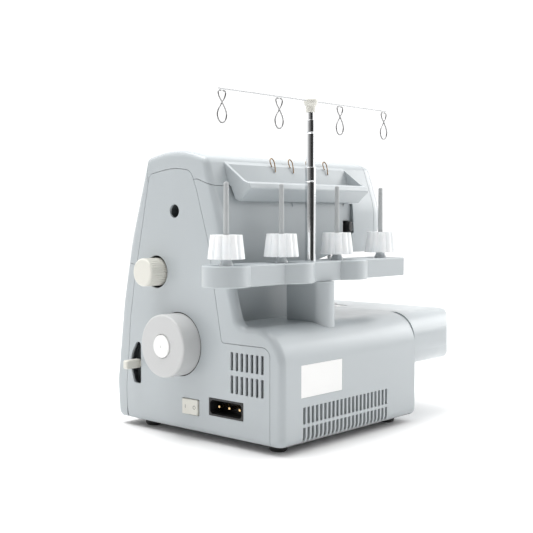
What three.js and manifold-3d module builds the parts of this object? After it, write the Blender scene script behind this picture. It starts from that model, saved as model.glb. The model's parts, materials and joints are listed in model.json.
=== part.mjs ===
// A serger (overlock sewing machine) with a four-cone spool stand, as an assembly of separate pieces.
//
// Millimetres, +Z up. The outline is drawn in the machine's own corner frame: X = 0 is the handwheel
// side, Y = 0 the back and Z = 0 the table, so the machine lies towards -X and -Y. The operator sits at
// -Y. The whole group is then moved so that the origin is the bottom centre of its bounding box.

import * as THREE from "three";
import { mergeVertices } from "three/addons/utils/BufferGeometryUtils.js";
import Module from "manifold-3d";

const wasm = await Module();
wasm.setup();

// ---------------------------------------------------------------- driving dimensions

const LIMITS = { left: -329.76, right: 52.7, front: -241.37, back: 0 };

const WALL = 2.5;
const GAP = 0.4;
const CLEAR = 0.3;

const BODY_BOTTOM = 7;
const BED_TOP = 119.5;
const BASE_LEFT = -222;
const TOWER_LEFT = -122;
const HEAD_LEFT = -285;
const HEAD_BOTTOM = 185;
const FACE_SPLIT = -262;

const HANDWHEEL = { y: -140.5, z: 95, radius: 32, face: 23 };
const PULLEY = { x0: -15.5, x1: -8.5, radius: 24 };
const MOTOR = { y: -45, z: 74, radius: 23, x0: -105, x1: -30, pulleyRadius: 9 };
const LENGTH_KNOB = { y: -174, z: 168, radius: 14.5, face: 20 };
const FEED_LEVER = { y: -188, z: 68 };
const SWITCH = { x: -4, y: -122.8, z: 32.8, height: 15.6, opening: 12.3 };
const INLET = { y0: -96.8, y1: -49.5, z0: 27.8, z1: 45.8, depth: 22 };
const SCREW_HOLE = { y: -146, z: 231, radius: 6.9 };

const RECESS = { x0: -219, x1: -10, y: -86, z0: 113, z1: 243 };
const HANDLE = { x0: -222, x1: -25, wall: 3 };

const NEEDLE = { x: -236, y: -152 };
const PRESSER = { x: -236, y: -131 };
const ANKLE = { y: -130.5, z: 129 };
const LIFTER = { x: -250, z: 214 };
const PLATE = { x0: -252, x1: -219, y0: -191.5, y1: -116.5, top: 118.8, thick: 3 };
const THREAD_PITCH = 29.6;
const FIRST_THREAD_X = -96.5;

const COVER_HINGE = { y: -233.5, z: 13, relief: 12.9 };
const COVER_RADIUS = 163.3;
const COVER_LOW_TOP = 110;

const TRAY = { bottom: 160, top: 180, y: -43, halfWidth: 22, left: -237 };
const PIN_OFFSETS = [122.8, 45, -44.1, -122.9];
const PIN_TOP = 257.5;
const CONE = { bottom: 187.5, top: 208.5, radiusBottom: 17.5, radiusTop: 15, bore: 3.7 };
const BAR = { z: 342.6, right: 39.5, left: -224.9, radius: 0.75 };
const EYE_OFFSETS = [128, 48.5, -48.5, -128];
const POLE = { x: -93.1, tubeLength: 95, lowerTop: 275.6, middleTop: 323.4, upperTop: 331 };

// ---------------------------------------------------------------- materials

const finish = (color, roughness = 0.5, metalness = 0) =>
  new THREE.MeshStandardMaterial({ color, roughness, metalness });

const MATERIALS = {
  body: finish(0xc9cdd0),
  pale: finish(0xe8e9e8),
  cream: finish(0xe2dfd3),
  pin: finish(0x9a9c9c),
  cone: finish(0xf2f4f5, 0.35),
  black: finish(0x161616, 0.4),
  rubber: finish(0x2b2b2b, 0.8),
  chrome: finish(0xd9dcdf, 0.12, 1),
  steel: finish(0xb4b7ba, 0.3, 1),
  brass: finish(0xb98e4a, 0.3, 1),
  casting: finish(0x8f9498, 0.6, 0.8),
};

// ---------------------------------------------------------------- solids and their frames

function toSolid(geometry) {
  const bare = new THREE.BufferGeometry();
  bare.setAttribute("position", geometry.getAttribute("position").clone());
  if (geometry.index) bare.setIndex(geometry.index.clone());
  const welded = mergeVertices(bare, 1e-4);
  return new wasm.Manifold(new wasm.Mesh({
    numProp: 3,
    vertProperties: new Float32Array(welded.getAttribute("position").array),
    triVerts: new Uint32Array(welded.index.array),
  }));
}

function toGeometry(solid) {
  const mesh = solid.getMesh();
  const geometry = new THREE.BufferGeometry();
  geometry.setAttribute("position", new THREE.BufferAttribute(new Float32Array(mesh.vertProperties), 3));
  geometry.setIndex(new THREE.BufferAttribute(new Uint32Array(mesh.triVerts), 1));
  geometry.computeVertexNormals();
  return geometry;
}

const join = (solids) => solids.reduce((sum, solid) => sum.add(solid));
const cut = (solid, cutters) => cutters.reduce((rest, cutter) => rest.subtract(cutter), solid);

// Corner rounding: each corner is [u, v] or [u, v, radius]; a radius becomes a short run of arc points.
function roundedPoints(corners, stepDegrees = 15) {
  const flat = corners.map(([u, v]) => new THREE.Vector2(u, v));
  const count = flat.length;
  const sides = flat.map((point, index) => flat[(index + 1) % count].clone().sub(point));
  const halves = flat.map((_, index) => {
    const back = sides[(index + count - 1) % count].clone().negate().normalize();
    return Math.acos(THREE.MathUtils.clamp(back.dot(sides[index].clone().normalize()), -1, 1)) / 2;
  });
  const wanted = corners.map(([, , radius = 0], index) => radius / Math.tan(halves[index]));
  // Two arcs that would run into each other on one side are both shortened.
  const fits = (index) => {
    const room = 0.98 * sides[index].length();
    return Math.min(1, room / Math.max(wanted[index] + wanted[(index + 1) % count], 1e-9));
  };
  const points = [];
  flat.forEach((corner, index) => {
    const reach = wanted[index] * Math.min(fits(index), fits((index + count - 1) % count));
    if (reach < 1e-6) {
      points.push(corner);
      return;
    }
    const back = sides[(index + count - 1) % count].clone().negate().normalize();
    const ahead = sides[index].clone().normalize();
    const radius = reach * Math.tan(halves[index]);
    const towards = back.clone().add(ahead).normalize();
    const centre = corner.clone().addScaledVector(towards, radius / Math.sin(halves[index]));
    const first = corner.clone().addScaledVector(back, reach).sub(centre);
    const last = corner.clone().addScaledVector(ahead, reach).sub(centre);
    const turn = Math.atan2(first.cross(last), first.dot(last));
    const steps = Math.max(1, Math.round(Math.abs(turn) / THREE.MathUtils.degToRad(stepDegrees)));
    for (let step = 0; step <= steps; step += 1) {
      const angle = first.angle() + (turn * step) / steps;
      points.push(new THREE.Vector2(Math.cos(angle), Math.sin(angle)).multiplyScalar(radius).add(centre));
    }
  });
  return points;
}

// Moves every side of a closed outline outwards by `distance` (inwards if negative).
function offsetCorners(corners, distance) {
  const flat = corners.map(([u, v]) => new THREE.Vector2(u, v));
  const side = THREE.ShapeUtils.area(flat) > 0 ? 1 : -1;
  const lineAt = (index) => {
    const from = flat[index];
    const along = flat[(index + 1) % flat.length].clone().sub(from).normalize();
    const outward = new THREE.Vector2(along.y, -along.x).multiplyScalar(side * distance);
    return { point: from.clone().add(outward), along };
  };
  return corners.map(([, , radius = 0], index) => {
    const one = lineAt((index + flat.length - 1) % flat.length);
    const two = lineAt(index);
    const cross = one.along.cross(two.along);
    const convex = cross * side > 0;
    const newRadius = radius > 0 ? Math.max(radius + (convex ? distance : -distance), 0.2) : 0;
    if (Math.abs(cross) < 1e-6) return [two.point.x, two.point.y, newRadius];
    const reach = two.point.clone().sub(one.point).cross(two.along) / cross;
    const meet = one.point.clone().addScaledVector(one.along, reach);
    return [meet.x, meet.y, newRadius];
  });
}

function extrude(points, depth) {
  const shape = new THREE.Shape(points);
  return new THREE.ExtrudeGeometry(shape, { depth, bevelEnabled: false, curveSegments: 1 });
}

// The three ways of extruding an outline: given as (Y, Z) along X, as (X, Z) along Y, as (X, Y) along Z.
function prismX(corners, x0, x1, stepDegrees) {
  const geometry = extrude(roundedPoints(corners, stepDegrees), x1 - x0);
  const turn = new THREE.Matrix4().makeBasis(
    new THREE.Vector3(0, 1, 0), new THREE.Vector3(0, 0, 1), new THREE.Vector3(1, 0, 0));
  geometry.applyMatrix4(turn.setPosition(x0, 0, 0));
  return toSolid(geometry);
}

function prismY(corners, y0, y1, stepDegrees) {
  const geometry = extrude(roundedPoints(corners, stepDegrees), y1 - y0);
  const turn = new THREE.Matrix4().makeBasis(
    new THREE.Vector3(1, 0, 0), new THREE.Vector3(0, 0, 1), new THREE.Vector3(0, -1, 0));
  geometry.applyMatrix4(turn.setPosition(0, y1, 0));
  return toSolid(geometry);
}

function prismZ(corners, z0, z1, stepDegrees) {
  const geometry = extrude(roundedPoints(corners, stepDegrees), z1 - z0);
  geometry.translate(0, 0, z0);
  return toSolid(geometry);
}

function block([x0, x1], [y0, y1], [z0, z1]) {
  const geometry = new THREE.BoxGeometry(x1 - x0, y1 - y0, z1 - z0);
  geometry.translate((x0 + x1) / 2, (y0 + y1) / 2, (z0 + z1) / 2);
  return toSolid(geometry);
}

// A turned piece: profile points are [radius, distance along the axis].
function turned(profile, axis, origin, sides = 24) {
  const geometry = new THREE.LatheGeometry(profile.map(([r, h]) => new THREE.Vector2(r, h)), sides);
  const from = new THREE.Vector3(0, 1, 0);
  geometry.applyQuaternion(new THREE.Quaternion().setFromUnitVectors(from, new THREE.Vector3(...axis)));
  geometry.translate(...origin);
  return toSolid(geometry);
}

function rod(radius, length, axis, origin, sides = 16) {
  return turned([[0, 0], [radius, 0], [radius, length], [0, length]], axis, origin, sides);
}

function tubeAlong(points, radius, steps, sides) {
  const stations = points.map((point) => new THREE.Vector3(...point));
  const extrudePath = new THREE.CatmullRomCurve3(stations, false, "catmullrom", 0.5);
  const section = new THREE.Shape();
  for (let side = 0; side < sides; side += 1) {
    const angle = (2 * Math.PI * side) / sides;
    const method = side === 0 ? "moveTo" : "lineTo";
    section[method](radius * Math.cos(angle), radius * Math.sin(angle));
  }
  section.closePath();
  const options = { steps, extrudePath, bevelEnabled: false, curveSegments: 1 };
  return toSolid(new THREE.ExtrudeGeometry(section, options));
}

const X_AXIS = [1, 0, 0];
const Z_AXIS = [0, 0, 1];

const group = new THREE.Group();

function addPiece(name, solid, material) {
  const mesh = new THREE.Mesh(toGeometry(solid), material);
  mesh.name = name;
  group.add(mesh);
}

// ---------------------------------------------------------------- the housing as one thin shell

// (Y, Z) outlines, from the bottom of the back round to the bottom of the front.
const TOWER_OUTLINE = [
  [0, BODY_BOTTOM, 9], [0, BED_TOP, 35], [-57.5, BED_TOP, 12], [-66, 150, 60], [-81, 218, 80],
  [-101, 284, 12], [-140, 296.8, 120], [-189, 287, 7], [-216, 200, 120], [-230, 135, 120],
  [-241.8, 46.5, 60], [-239, BODY_BOTTOM, 9],
];
const BASE_OUTLINE = [
  [0, BODY_BOTTOM, 9], [0, BED_TOP, 35], [-232, BED_TOP, 9], [-241.8, 46.5, 60], [-239, BODY_BOTTOM, 9],
];
const HEAD_OUTLINE = [
  [-83, HEAD_BOTTOM, 3], [-85.5, 238, 60], [-101, 284, 12], [-140, 296.8, 120], [-189, 287, 7],
  [-216, 200, 80], [-219.5, HEAD_BOTTOM, 6],
];
// Seen from above and from the back, the head's free end is rounded and draws in towards its bottom.
const HEAD_PLAN = [[10, -60], [-264, -60], [HEAD_LEFT, -90, 24], [HEAD_LEFT, -230, 26], [10, -230]];
const HEAD_FRONT = [
  [10, 150], [10, 320], [HEAD_LEFT, 320], [HEAD_LEFT, 240, 60], [-257, HEAD_BOTTOM - 2], [-257, 150],
];

// Seen from above, the corners of base and tower are rounded: tightly at the back, softly at the front.
const PLAN_OUTLINE = [
  [0, 0, 9], [HEAD_LEFT, 0, 20], [HEAD_LEFT, -242, 26], [0, -242, 16],
];

function housingSolid(inset) {
  const shrink = (corners) => offsetCorners(corners, -inset);
  const tower = prismX(shrink(TOWER_OUTLINE), TOWER_LEFT + inset, -inset, 12);
  const base = prismX(shrink(BASE_OUTLINE), BASE_LEFT + inset, -inset, 12);
  const head = prismX(shrink(HEAD_OUTLINE), HEAD_LEFT + inset, -inset, 12)
    .intersect(prismZ(shrink(HEAD_PLAN), 150, 320, 22))
    .intersect(prismY(shrink(HEAD_FRONT), -240, -50, 12));
  const plan = prismZ(shrink(PLAN_OUTLINE), 0, 320, 30);
  const recess = block([RECESS.x0 - inset, RECESS.x1 + inset], [RECESS.y - inset, 1],
    [inset > 0 ? BED_TOP - inset : BED_TOP, RECESS.z1 + inset]);
  return join([tower, base, head]).intersect(plan).subtract(recess);
}

function housingShell() {
  const insidePlan = prismZ(offsetCorners(PLAN_OUTLINE, -WALL), 0, 40, 30);
  const openBottom = block([BASE_LEFT + WALL, -WALL], [-236, -WALL], [0, 20]).intersect(insidePlan);
  return housingSolid(0).subtract(housingSolid(WALL).add(openBottom));
}

// ---------------------------------------------------------------- where the housing comes apart

const SIDE_OUTLINE = [
  [-15.5, 0], [-15.5, 101.5, 9], [-79, 101.5, 4], [-89, 154, 90], [-97, 199, 90], [-114, 253, 40],
  [-122, 271.5, 12], [-148, 275, 90], [-184, 269, 7], [-209, 156, 90], [-215.6, 118], [-218.5, 85],
  [-223, 42, 60], [-221.6, 0],
];
const TOP_OUTLINE = [
  [-186.5, 330], [-186.5, 262], [-112, 263, 4], [-89, 255.2, 4], [-40, 255.2], [-40, 330],
];
const FRONT_PANEL_OUTLINE = [
  [-300, 330], [-187, 330], [-187, 262], [-160, 262], [-185, 166], [-300, 166],
];
const COVER_OUTLINE = [
  [-300, -5], [-228, -5], [-222, 8.5], [-223, 42], [-219, 85], [-216, 118], [-209.4, 156], [-200, 186],
  [-300, 186],
];

const REGIONS = {
  side_cover: (grow) => prismX(offsetCorners(SIDE_OUTLINE, grow), -WALL - 0.2 - grow, 1, 12),
  face_cover: (grow) => block([-300, FACE_SPLIT + grow], [-300, 10], [HEAD_BOTTOM - 5, 330]),
  top_cover: (grow) => prismX(offsetCorners(TOP_OUTLINE, grow), -300, 10),
  looper_cover: (grow) => {
    const band = prismX(offsetCorners(COVER_OUTLINE, grow), BASE_LEFT - 5, 10);
    const start = [TOWER_LEFT + 4 - grow, COVER_HINGE.y, COVER_HINGE.z];
    const sector = rod(COVER_RADIUS + grow, 130, X_AXIS, start, 96);
    const low = block([BASE_LEFT - 5, TOWER_LEFT + 5], [-300, 0], [-5, COVER_LOW_TOP + grow]);
    return band.intersect(sector.add(low));
  },
  front_panel: (grow) => prismX(offsetCorners(FRONT_PANEL_OUTLINE, grow), -300, 10),
  bed_cover: (grow) =>
    block([BASE_LEFT - 5, TOWER_LEFT - 0.5 + grow], [-222 - grow, -112 + grow], [112, 125]),
};

function splitHousing(shell) {
  const pieces = {};
  let rest = shell;
  for (const [name, region] of Object.entries(REGIONS)) {
    pieces[name] = rest.intersect(region(0));
    rest = rest.subtract(region(GAP));
  }
  // The looper cover's lower edge swings inwards below its hinge, so its neighbours are hollowed there.
  const relief = rod(COVER_HINGE.relief, 230, X_AXIS, [BASE_LEFT - 5, COVER_HINGE.y, COVER_HINGE.z], 32);
  pieces.rear_casing = rest.subtract(relief);
  pieces.side_cover = pieces.side_cover.subtract(relief);
  return pieces;
}

// ---------------------------------------------------------------- openings in the covers

// The feed lever's slot is a crescent beside the handwheel.
const LEVER_SLOT = [
  [-199.5, 47.5, 3], [-210.5, 47.5, 3], [-215.2, 60, 20], [-215.2, 78, 20], [-206.5, 92, 4],
  [-199.5, 92, 4],
];

const slotX = ([y0, y1], [z0, z1]) => block([-30, 10], [y0, y1], [z0, z1]);

function sideOpenings() {
  const vents = [];
  for (let column = 0; column < 7; column += 1) {
    const y = -64.9 + column * 6.65;
    vents.push(slotX([y - 1.45, y + 1.45], [53.4, 71.1]));
    vents.push(slotX([y - 1.45, y + 1.45], [76, 93.8]));
  }
  return [
    ...vents,
    rod(33, 40, X_AXIS, [-30, HANDWHEEL.y, HANDWHEEL.z], 32),
    rod(17, 40, X_AXIS, [-30, LENGTH_KNOB.y, LENGTH_KNOB.z], 24),
    rod(SCREW_HOLE.radius, 40, X_AXIS, [-30, SCREW_HOLE.y, SCREW_HOLE.z], 16),
    slotX([SWITCH.y - SWITCH.opening, SWITCH.y + SWITCH.opening], [SWITCH.z - 8.3, SWITCH.z + 8.3]),
    slotX([INLET.y0, INLET.y1], [INLET.z0, INLET.z1]),
    prismX(LEVER_SLOT, -30, 10, 30),
  ];
}

// A ring sector about the feed lever's pivot, opening towards the front.
function feedLeverSector(inner, outer, halfAngle, x0, x1) {
  const steps = 8;
  const arc = (radius, sign) => Array.from({ length: steps + 1 }, (_, step) => {
    const angle = Math.PI + sign * THREE.MathUtils.degToRad(halfAngle * (1 - (2 * step) / steps));
    return [FEED_LEVER.y + radius * Math.cos(angle), FEED_LEVER.z + radius * Math.sin(angle)];
  });
  return prismX([...arc(outer, 1), ...arc(inner, -1)], x0, x1);
}

function backVents() {
  const vents = [];
  for (let column = 0; column < 22; column += 1) {
    const x = -32.6 - column * 6.43;
    vents.push(block([x - 1.6, x + 1.6], [-8, 5], [27, 43.4]));
    vents.push(block([x - 1.6, x + 1.6], [-8, 5], [10.5, 24]));
  }
  return vents;
}

const threadX = (index) => FIRST_THREAD_X - index * THREAD_PITCH;

// ---------------------------------------------------------------- housing pieces

function handleSolid() {
  const outside = [
    [-102, 282], [-73, 261.5, 1], [-65, 258, 3], [-63, 253.5, 2], [-78, 240.3, 2], [-84.5, 243.5],
    [-90.5, 255.8], [-93.6, 257], [-102.2, 281],
  ];
  const pocket = [[-100.2, 290], [-91.5, 262], [-83, 250], [-78.5, 247.3], [-69.5, 259.5], [-60, 290]];
  return prismX(outside, HANDLE.x0, HANDLE.x1)
    .subtract(prismX(pocket, HANDLE.x0 + HANDLE.wall, HANDLE.x1 - HANDLE.wall));
}

function addHousing() {
  const pieces = splitHousing(housingShell());

  addPiece("side_cover", cut(pieces.side_cover, sideOpenings()), MATERIALS.body);
  addPiece("top_cover", pieces.top_cover.add(handleSolid()), MATERIALS.body);

  const dialSlots = [0, 1, 2, 3].map((index) =>
    block([threadX(index) - 5.6, threadX(index) + 5.6], [-230, -185], [219, 261]));
  addPiece("front_panel", cut(pieces.front_panel, dialSlots), MATERIALS.body);
  addPiece("looper_cover", pieces.looper_cover, MATERIALS.body);

  const barHoles = [
    rod(9, 20, Z_AXIS, [NEEDLE.x, NEEDLE.y, HEAD_BOTTOM - 10]),
    rod(7, 20, Z_AXIS, [PRESSER.x, PRESSER.y, HEAD_BOTTOM - 10]),
  ];
  const lifterWindow = block([-222, -203.5], [-90, -84], [206.5, 240]);
  addPiece("face_cover", pieces.face_cover, MATERIALS.body);

  const plateNotch = block([BASE_LEFT - 5, PLATE.x1 + 1], [PLATE.y0 - 1, PLATE.y1 + 1], [60, 130])
    .add(block([BASE_LEFT - 5, -212.4], [-162, -151], [60, 130]));
  addPiece("bed_cover", pieces.bed_cover.subtract(plateNotch), MATERIALS.body);
  const endWindow = block([BASE_LEFT - 5, BASE_LEFT + 5], [-208, -100], [62, 116.5]);
  addPiece("rear_casing",
    cut(pieces.rear_casing, [...backVents(), ...barHoles, lifterWindow, plateNotch, endWindow]),
    MATERIALS.body);
}

function addBase() {
  const hinge = rod(1.5, 207, X_AXIS, [BASE_LEFT + 7, COVER_HINGE.y, COVER_HINGE.z], 12);
  addPiece("cover_hinge_rod", hinge, MATERIALS.steel);
  const pan = offsetCorners([[-1, -2, 8], [-221, -2, 6], [-221, -219, 6], [-1, -219, 10]], -(WALL + GAP));
  addPiece("base_pan", prismZ(pan, 8, 10.5, 30), MATERIALS.casting);
  const places = [[-22, -24], [-202, -24], [-22, -204], [-202, -204]];
  places.forEach(([x, y], index) => {
    const profile = [[0, 0], [8, 0], [9, 1.5], [9, 7.6], [0, 7.6]];
    addPiece(`foot_${index + 1}`, turned(profile, Z_AXIS, [x, y, 0], 16), MATERIALS.rubber);
  });
}

// The free arm's cover: a pillow-shaped shell, open towards the base, that swings away to the left.
function clothPlateSolid(inset) {
  const shrink = (corners) => offsetCorners(corners, -inset);
  const right = inset > 0 ? -200 : -225.5;
  const section = shrink([[-3, 58, 28], [-3, 119.2, 28], [-214, 119.2, 12], [-214, 58, 20]]);
  const plan = shrink([[right, -3], [-313, -3, 34], [-330, -110, 90], [-327, -214, 30], [right, -214]]);
  const end = shrink([[right, 58], [right, 119.2], [-330, 119.2, 28], [-330, 58, 28]]);
  return prismX(section, -335, right)
    .intersect(prismZ(plan, 50, 125, 18))
    .intersect(prismY(end, -220, 0));
}

function addClothPlate() {
  const notch = block([PLATE.x0 - 1, -200], [PLATE.y0 - 1.6, PLATE.y1 + 1.6], [110, 130]);
  const shell = cut(clothPlateSolid(0), [clothPlateSolid(WALL), notch]);
  addPiece("cloth_plate", shell, MATERIALS.body);
}

// ---------------------------------------------------------------- the machine inside

function addFrame() {
  const beam = block([-205, -22], [-165, -115], [70, 112]);
  const column = block([-110, -40], [-165, -115], [111, 216]);
  const arm = block([-252, -40], [-165, -115], [215, 258]);
  const legs = [-190, -60].map((x) => block([x, x + 24], [-165, -115], [11, 71]));
  const rails = [[-190.5, -183], [-125, -117.5]].map((y) => block([-251, -204], y, [107, 115.4]));
  const railFoot = block([-212, -204], [-190.5, -117.5], [100, 115.4]);
  const cuts = [
    rod(5.5, 200, X_AXIS, [-210, HANDWHEEL.y, HANDWHEEL.z]),
    rod(3.3, 60, Z_AXIS, [NEEDLE.x, NEEDLE.y, 205]),
    rod(3.3, 60, Z_AXIS, [PRESSER.x, PRESSER.y, 205]),
    block([-95, -55], [-166, -114], [130, 200]),
    block([-200, -140], [-166, -114], [224, 249]),
  ];
  const casting = join([beam, column, arm, ...legs, ...rails, railFoot]);
  addPiece("machine_frame", cut(casting, cuts), MATERIALS.casting);
}

function addDrive() {
  const { y, z, radius, face } = HANDWHEEL;
  const pulleyFlange = PULLEY.radius + 2.5;
  const shaft = turned([
    [0, -200], [5, -200], [5, PULLEY.x0 - 1.2], [pulleyFlange, PULLEY.x0 - 1.2],
    [pulleyFlange, PULLEY.x0 - 0.2], [PULLEY.radius, PULLEY.x0 + 0.3], [PULLEY.radius, PULLEY.x1 - 0.3],
    [pulleyFlange, PULLEY.x1 + 0.2], [pulleyFlange, PULLEY.x1 + 1.2], [5, PULLEY.x1 + 1.2],
    [5, 19.5], [0, 19.5],
  ], X_AXIS, [0, y, z], 24);
  addPiece("main_shaft", shaft, MATERIALS.steel);
  const wheel = turned([
    [5.4, -2], [24, -2], [24, -0.5], [radius, -0.5], [radius, face - 4], [radius - 1.2, face - 1.2],
    [radius - 4, face], [12.3, face], [12.3, face - 2.6], [5.4, face - 2.6], [5.4, -2],
  ], X_AXIS, [0, y, z], 32);
  addPiece("handwheel", wheel, MATERIALS.pale);
  const capProfile = [[0, 20.8], [11.6, 20.8], [11.6, 23.6], [10.8, 24.4], [0, 24.4]];
  addPiece("handwheel_cap", turned(capProfile, X_AXIS, [0, y, z], 28), MATERIALS.pale);

  const can = turned([
    [0, MOTOR.x0], [MOTOR.radius - 2, MOTOR.x0], [MOTOR.radius, MOTOR.x0 + 2], [MOTOR.radius, MOTOR.x1 - 2],
    [MOTOR.radius - 2, MOTOR.x1], [3, MOTOR.x1], [3, MOTOR.x1 - 12], [0, MOTOR.x1 - 12],
  ], X_AXIS, [0, MOTOR.y, MOTOR.z], 24);
  addPiece("motor", can, MATERIALS.casting);
  const small = MOTOR.pulleyRadius;
  const motorPulley = turned([
    [0, MOTOR.x1 - 11], [2.6, MOTOR.x1 - 11], [2.6, PULLEY.x0 - 1], [small + 2, PULLEY.x0 - 1],
    [small + 2, PULLEY.x0 - 0.2], [small, PULLEY.x0 + 0.3], [small, PULLEY.x1 - 0.3],
    [small + 2, PULLEY.x1 + 0.2], [small + 2, PULLEY.x1 + 1], [0, PULLEY.x1 + 1],
  ], X_AXIS, [0, MOTOR.y, MOTOR.z], 24);
  addPiece("motor_pulley", motorPulley, MATERIALS.black);
  addPiece("drive_belt", beltSolid(), MATERIALS.rubber);
}

// The belt's side view is the outline round two circles, less the same outline drawn smaller.
function beltOutline(extra) {
  const big = PULLEY.radius + extra;
  const small = MOTOR.pulleyRadius + extra;
  const dy = MOTOR.y - HANDWHEEL.y;
  const dz = MOTOR.z - HANDWHEEL.z;
  const along = Math.atan2(dz, dy);
  const lean = Math.acos((big - small) / Math.hypot(dy, dz));
  const arc = (cy, cz, radius, from, to, steps) => Array.from({ length: steps + 1 }, (_, step) => {
    const angle = from + ((to - from) * step) / steps;
    return [cy + radius * Math.cos(angle), cz + radius * Math.sin(angle)];
  });
  return [
    ...arc(HANDWHEEL.y, HANDWHEEL.z, big, along + lean, along + 2 * Math.PI - lean, 18),
    ...arc(MOTOR.y, MOTOR.z, small, along - lean, along + lean, 10),
  ];
}

function beltSolid() {
  const x0 = PULLEY.x0 + 0.6;
  const x1 = PULLEY.x1 - 0.6;
  return prismX(beltOutline(2.2), x0, x1).subtract(prismX(beltOutline(0.5), x0 - 1, x1 + 1));
}

function addStitchParts() {
  const plate = block([PLATE.x0, PLATE.x1], [PLATE.y0, PLATE.y1], [PLATE.top - PLATE.thick, PLATE.top]);
  const needleSlot = block([NEEDLE.x - 7, NEEDLE.x + 4], [NEEDLE.y - 3.5, NEEDLE.y + 3.5], [110, 125]);
  const feedSlot = block([NEEDLE.x - 6, NEEDLE.x + 8], [-179.5, -161], [110, 125]);
  const knifeSlot = block([NEEDLE.x + 6, NEEDLE.x + 10.8], [-159, -143], [110, 125]);
  addPiece("needle_plate", cut(plate, [needleSlot, feedSlot, knifeSlot]), MATERIALS.steel);

  const dog = [block([NEEDLE.x - 4.5, NEEDLE.x + 6.5], [-177, -164], [104, 117.6])];
  for (let tooth = 0; tooth < 5; tooth += 1) {
    const y = -176.8 + tooth * 2.6;
    dog.push(prismX([[y, 117.4], [y + 2.3, 117.4], [y + 2.1, 119.2]], NEEDLE.x - 4.5, NEEDLE.x + 6.5));
  }
  addPiece("feed_dog", join(dog), MATERIALS.steel);

  const bar = rod(3, 100, Z_AXIS, [NEEDLE.x, NEEDLE.y, 172]);
  const clamp = block([NEEDLE.x - 5, NEEDLE.x + 5], [NEEDLE.y - 4, NEEDLE.y + 4], [160, 173]);
  const needles = [-2, 2].map((dx) => turned(
    [[0, 0], [0.5, 4], [0.8, 34], [0, 34]], Z_AXIS, [NEEDLE.x + dx, NEEDLE.y, 127], 8));
  addPiece("needle_bar", join([bar, clamp, ...needles]), MATERIALS.steel);

  const presserBar = rod(3, 134, Z_AXIS, [PRESSER.x, PRESSER.y, 140]);
  const shank = block([PRESSER.x - 4, PRESSER.x + 4], [PRESSER.y - 6, PRESSER.y + 4], [126, 142]);
  const fork = block([PRESSER.x - 2.6, PRESSER.x + 2.6], [PRESSER.y - 6.1, PRESSER.y + 4.1], [125, 133.5]);
  const ankle = rod(1.2, 8, X_AXIS, [PRESSER.x - 4, ANKLE.y, ANKLE.z], 10);
  addPiece("presser_bar", presserBar.add(shank.subtract(fork)).add(ankle), MATERIALS.steel);

  const sole = prismX([
    [-178, 122.5], [-171, 119.4, 4], [-128, 119.4], [-126.5, 120.4], [-126.5, 122.2], [-178, 124],
  ], PRESSER.x - 9, PRESSER.x + 5.8);
  const soleSlot = block([NEEDLE.x - 5, NEEDLE.x + 4], [NEEDLE.y - 5, NEEDLE.y + 5], [110, 140]);
  const ear = block([PRESSER.x - 2, PRESSER.x + 2], [ANKLE.y - 3.2, ANKLE.y + 3.2], [121.5, 131.5]);
  const earBore = rod(1.6, 6, X_AXIS, [PRESSER.x - 3, ANKLE.y, ANKLE.z], 10);
  addPiece("presser_foot", cut(sole.add(ear), [soleSlot, earBore]), MATERIALS.steel);

  // The lifter's arm lies inside the head, and its end comes out through a window in the rear wall.
  const arm = prismY([[-256, 209], [-256, 219, 4], [-232, 218, 3], [-208, 220], [-208, 209]], -97, -91, 30);
  const tip = prismY([[-217, 208, 3], [-217, 220, 3], [-208, 220, 5], [-208, 208, 5]], -97, -79, 30);
  const pivot = rod(4, 10, [0, 1, 0], [LIFTER.x, -100, LIFTER.z], 12);
  addPiece("presser_lifter", join([arm, tip, pivot]), MATERIALS.black);

  const knifeX = NEEDLE.x + 6.4;
  const lowerKnife = prismX([[-158, 92], [-146, 92], [-146, 116.8], [-152, 118.2], [-158, 116.8]],
    knifeX, knifeX + 1.8);
  const upperKnife = prismX([
    [-158.4, 119.5], [-146, 121], [-146, 133], [-158.4, 136],
  ], knifeX + 2.1, knifeX + 3.9);
  const knifeArm = block([knifeX + 2.1, knifeX + 16], [-158.4, -153], [126, 136]);
  const knifePost = block([knifeX + 12.6, knifeX + 16], [-158.4, -153], [98, 127]);
  addPiece("lower_knife", lowerKnife, MATERIALS.steel);
  addPiece("upper_knife", join([upperKnife, knifeArm, knifePost]), MATERIALS.steel);
}

// A looper is a curved hook on an arm that rocks about a stub shaft.
function addLoopers() {
  const upper = tubeAlong([
    [-214, -142, 78], [-220, -140, 92], [-226, -138.5, 104], [-232, -138, 108],
  ], 1.4, 8, 6);
  const upperHub = rod(4, 8, [0, 1, 0], [-213, -146, 78], 12);
  addPiece("upper_looper", upper.add(upperHub), MATERIALS.steel);
  const lower = tubeAlong([
    [-243, -166, 74], [-247, -163, 88], [-246, -158.5, 100], [-240, -157.5, 105],
  ], 1.4, 8, 6);
  const lowerHub = rod(4, 8, [0, 1, 0], [-243, -170, 72], 12);
  addPiece("lower_looper", lower.add(lowerHub), MATERIALS.steel);
}

// ---------------------------------------------------------------- controls

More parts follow.
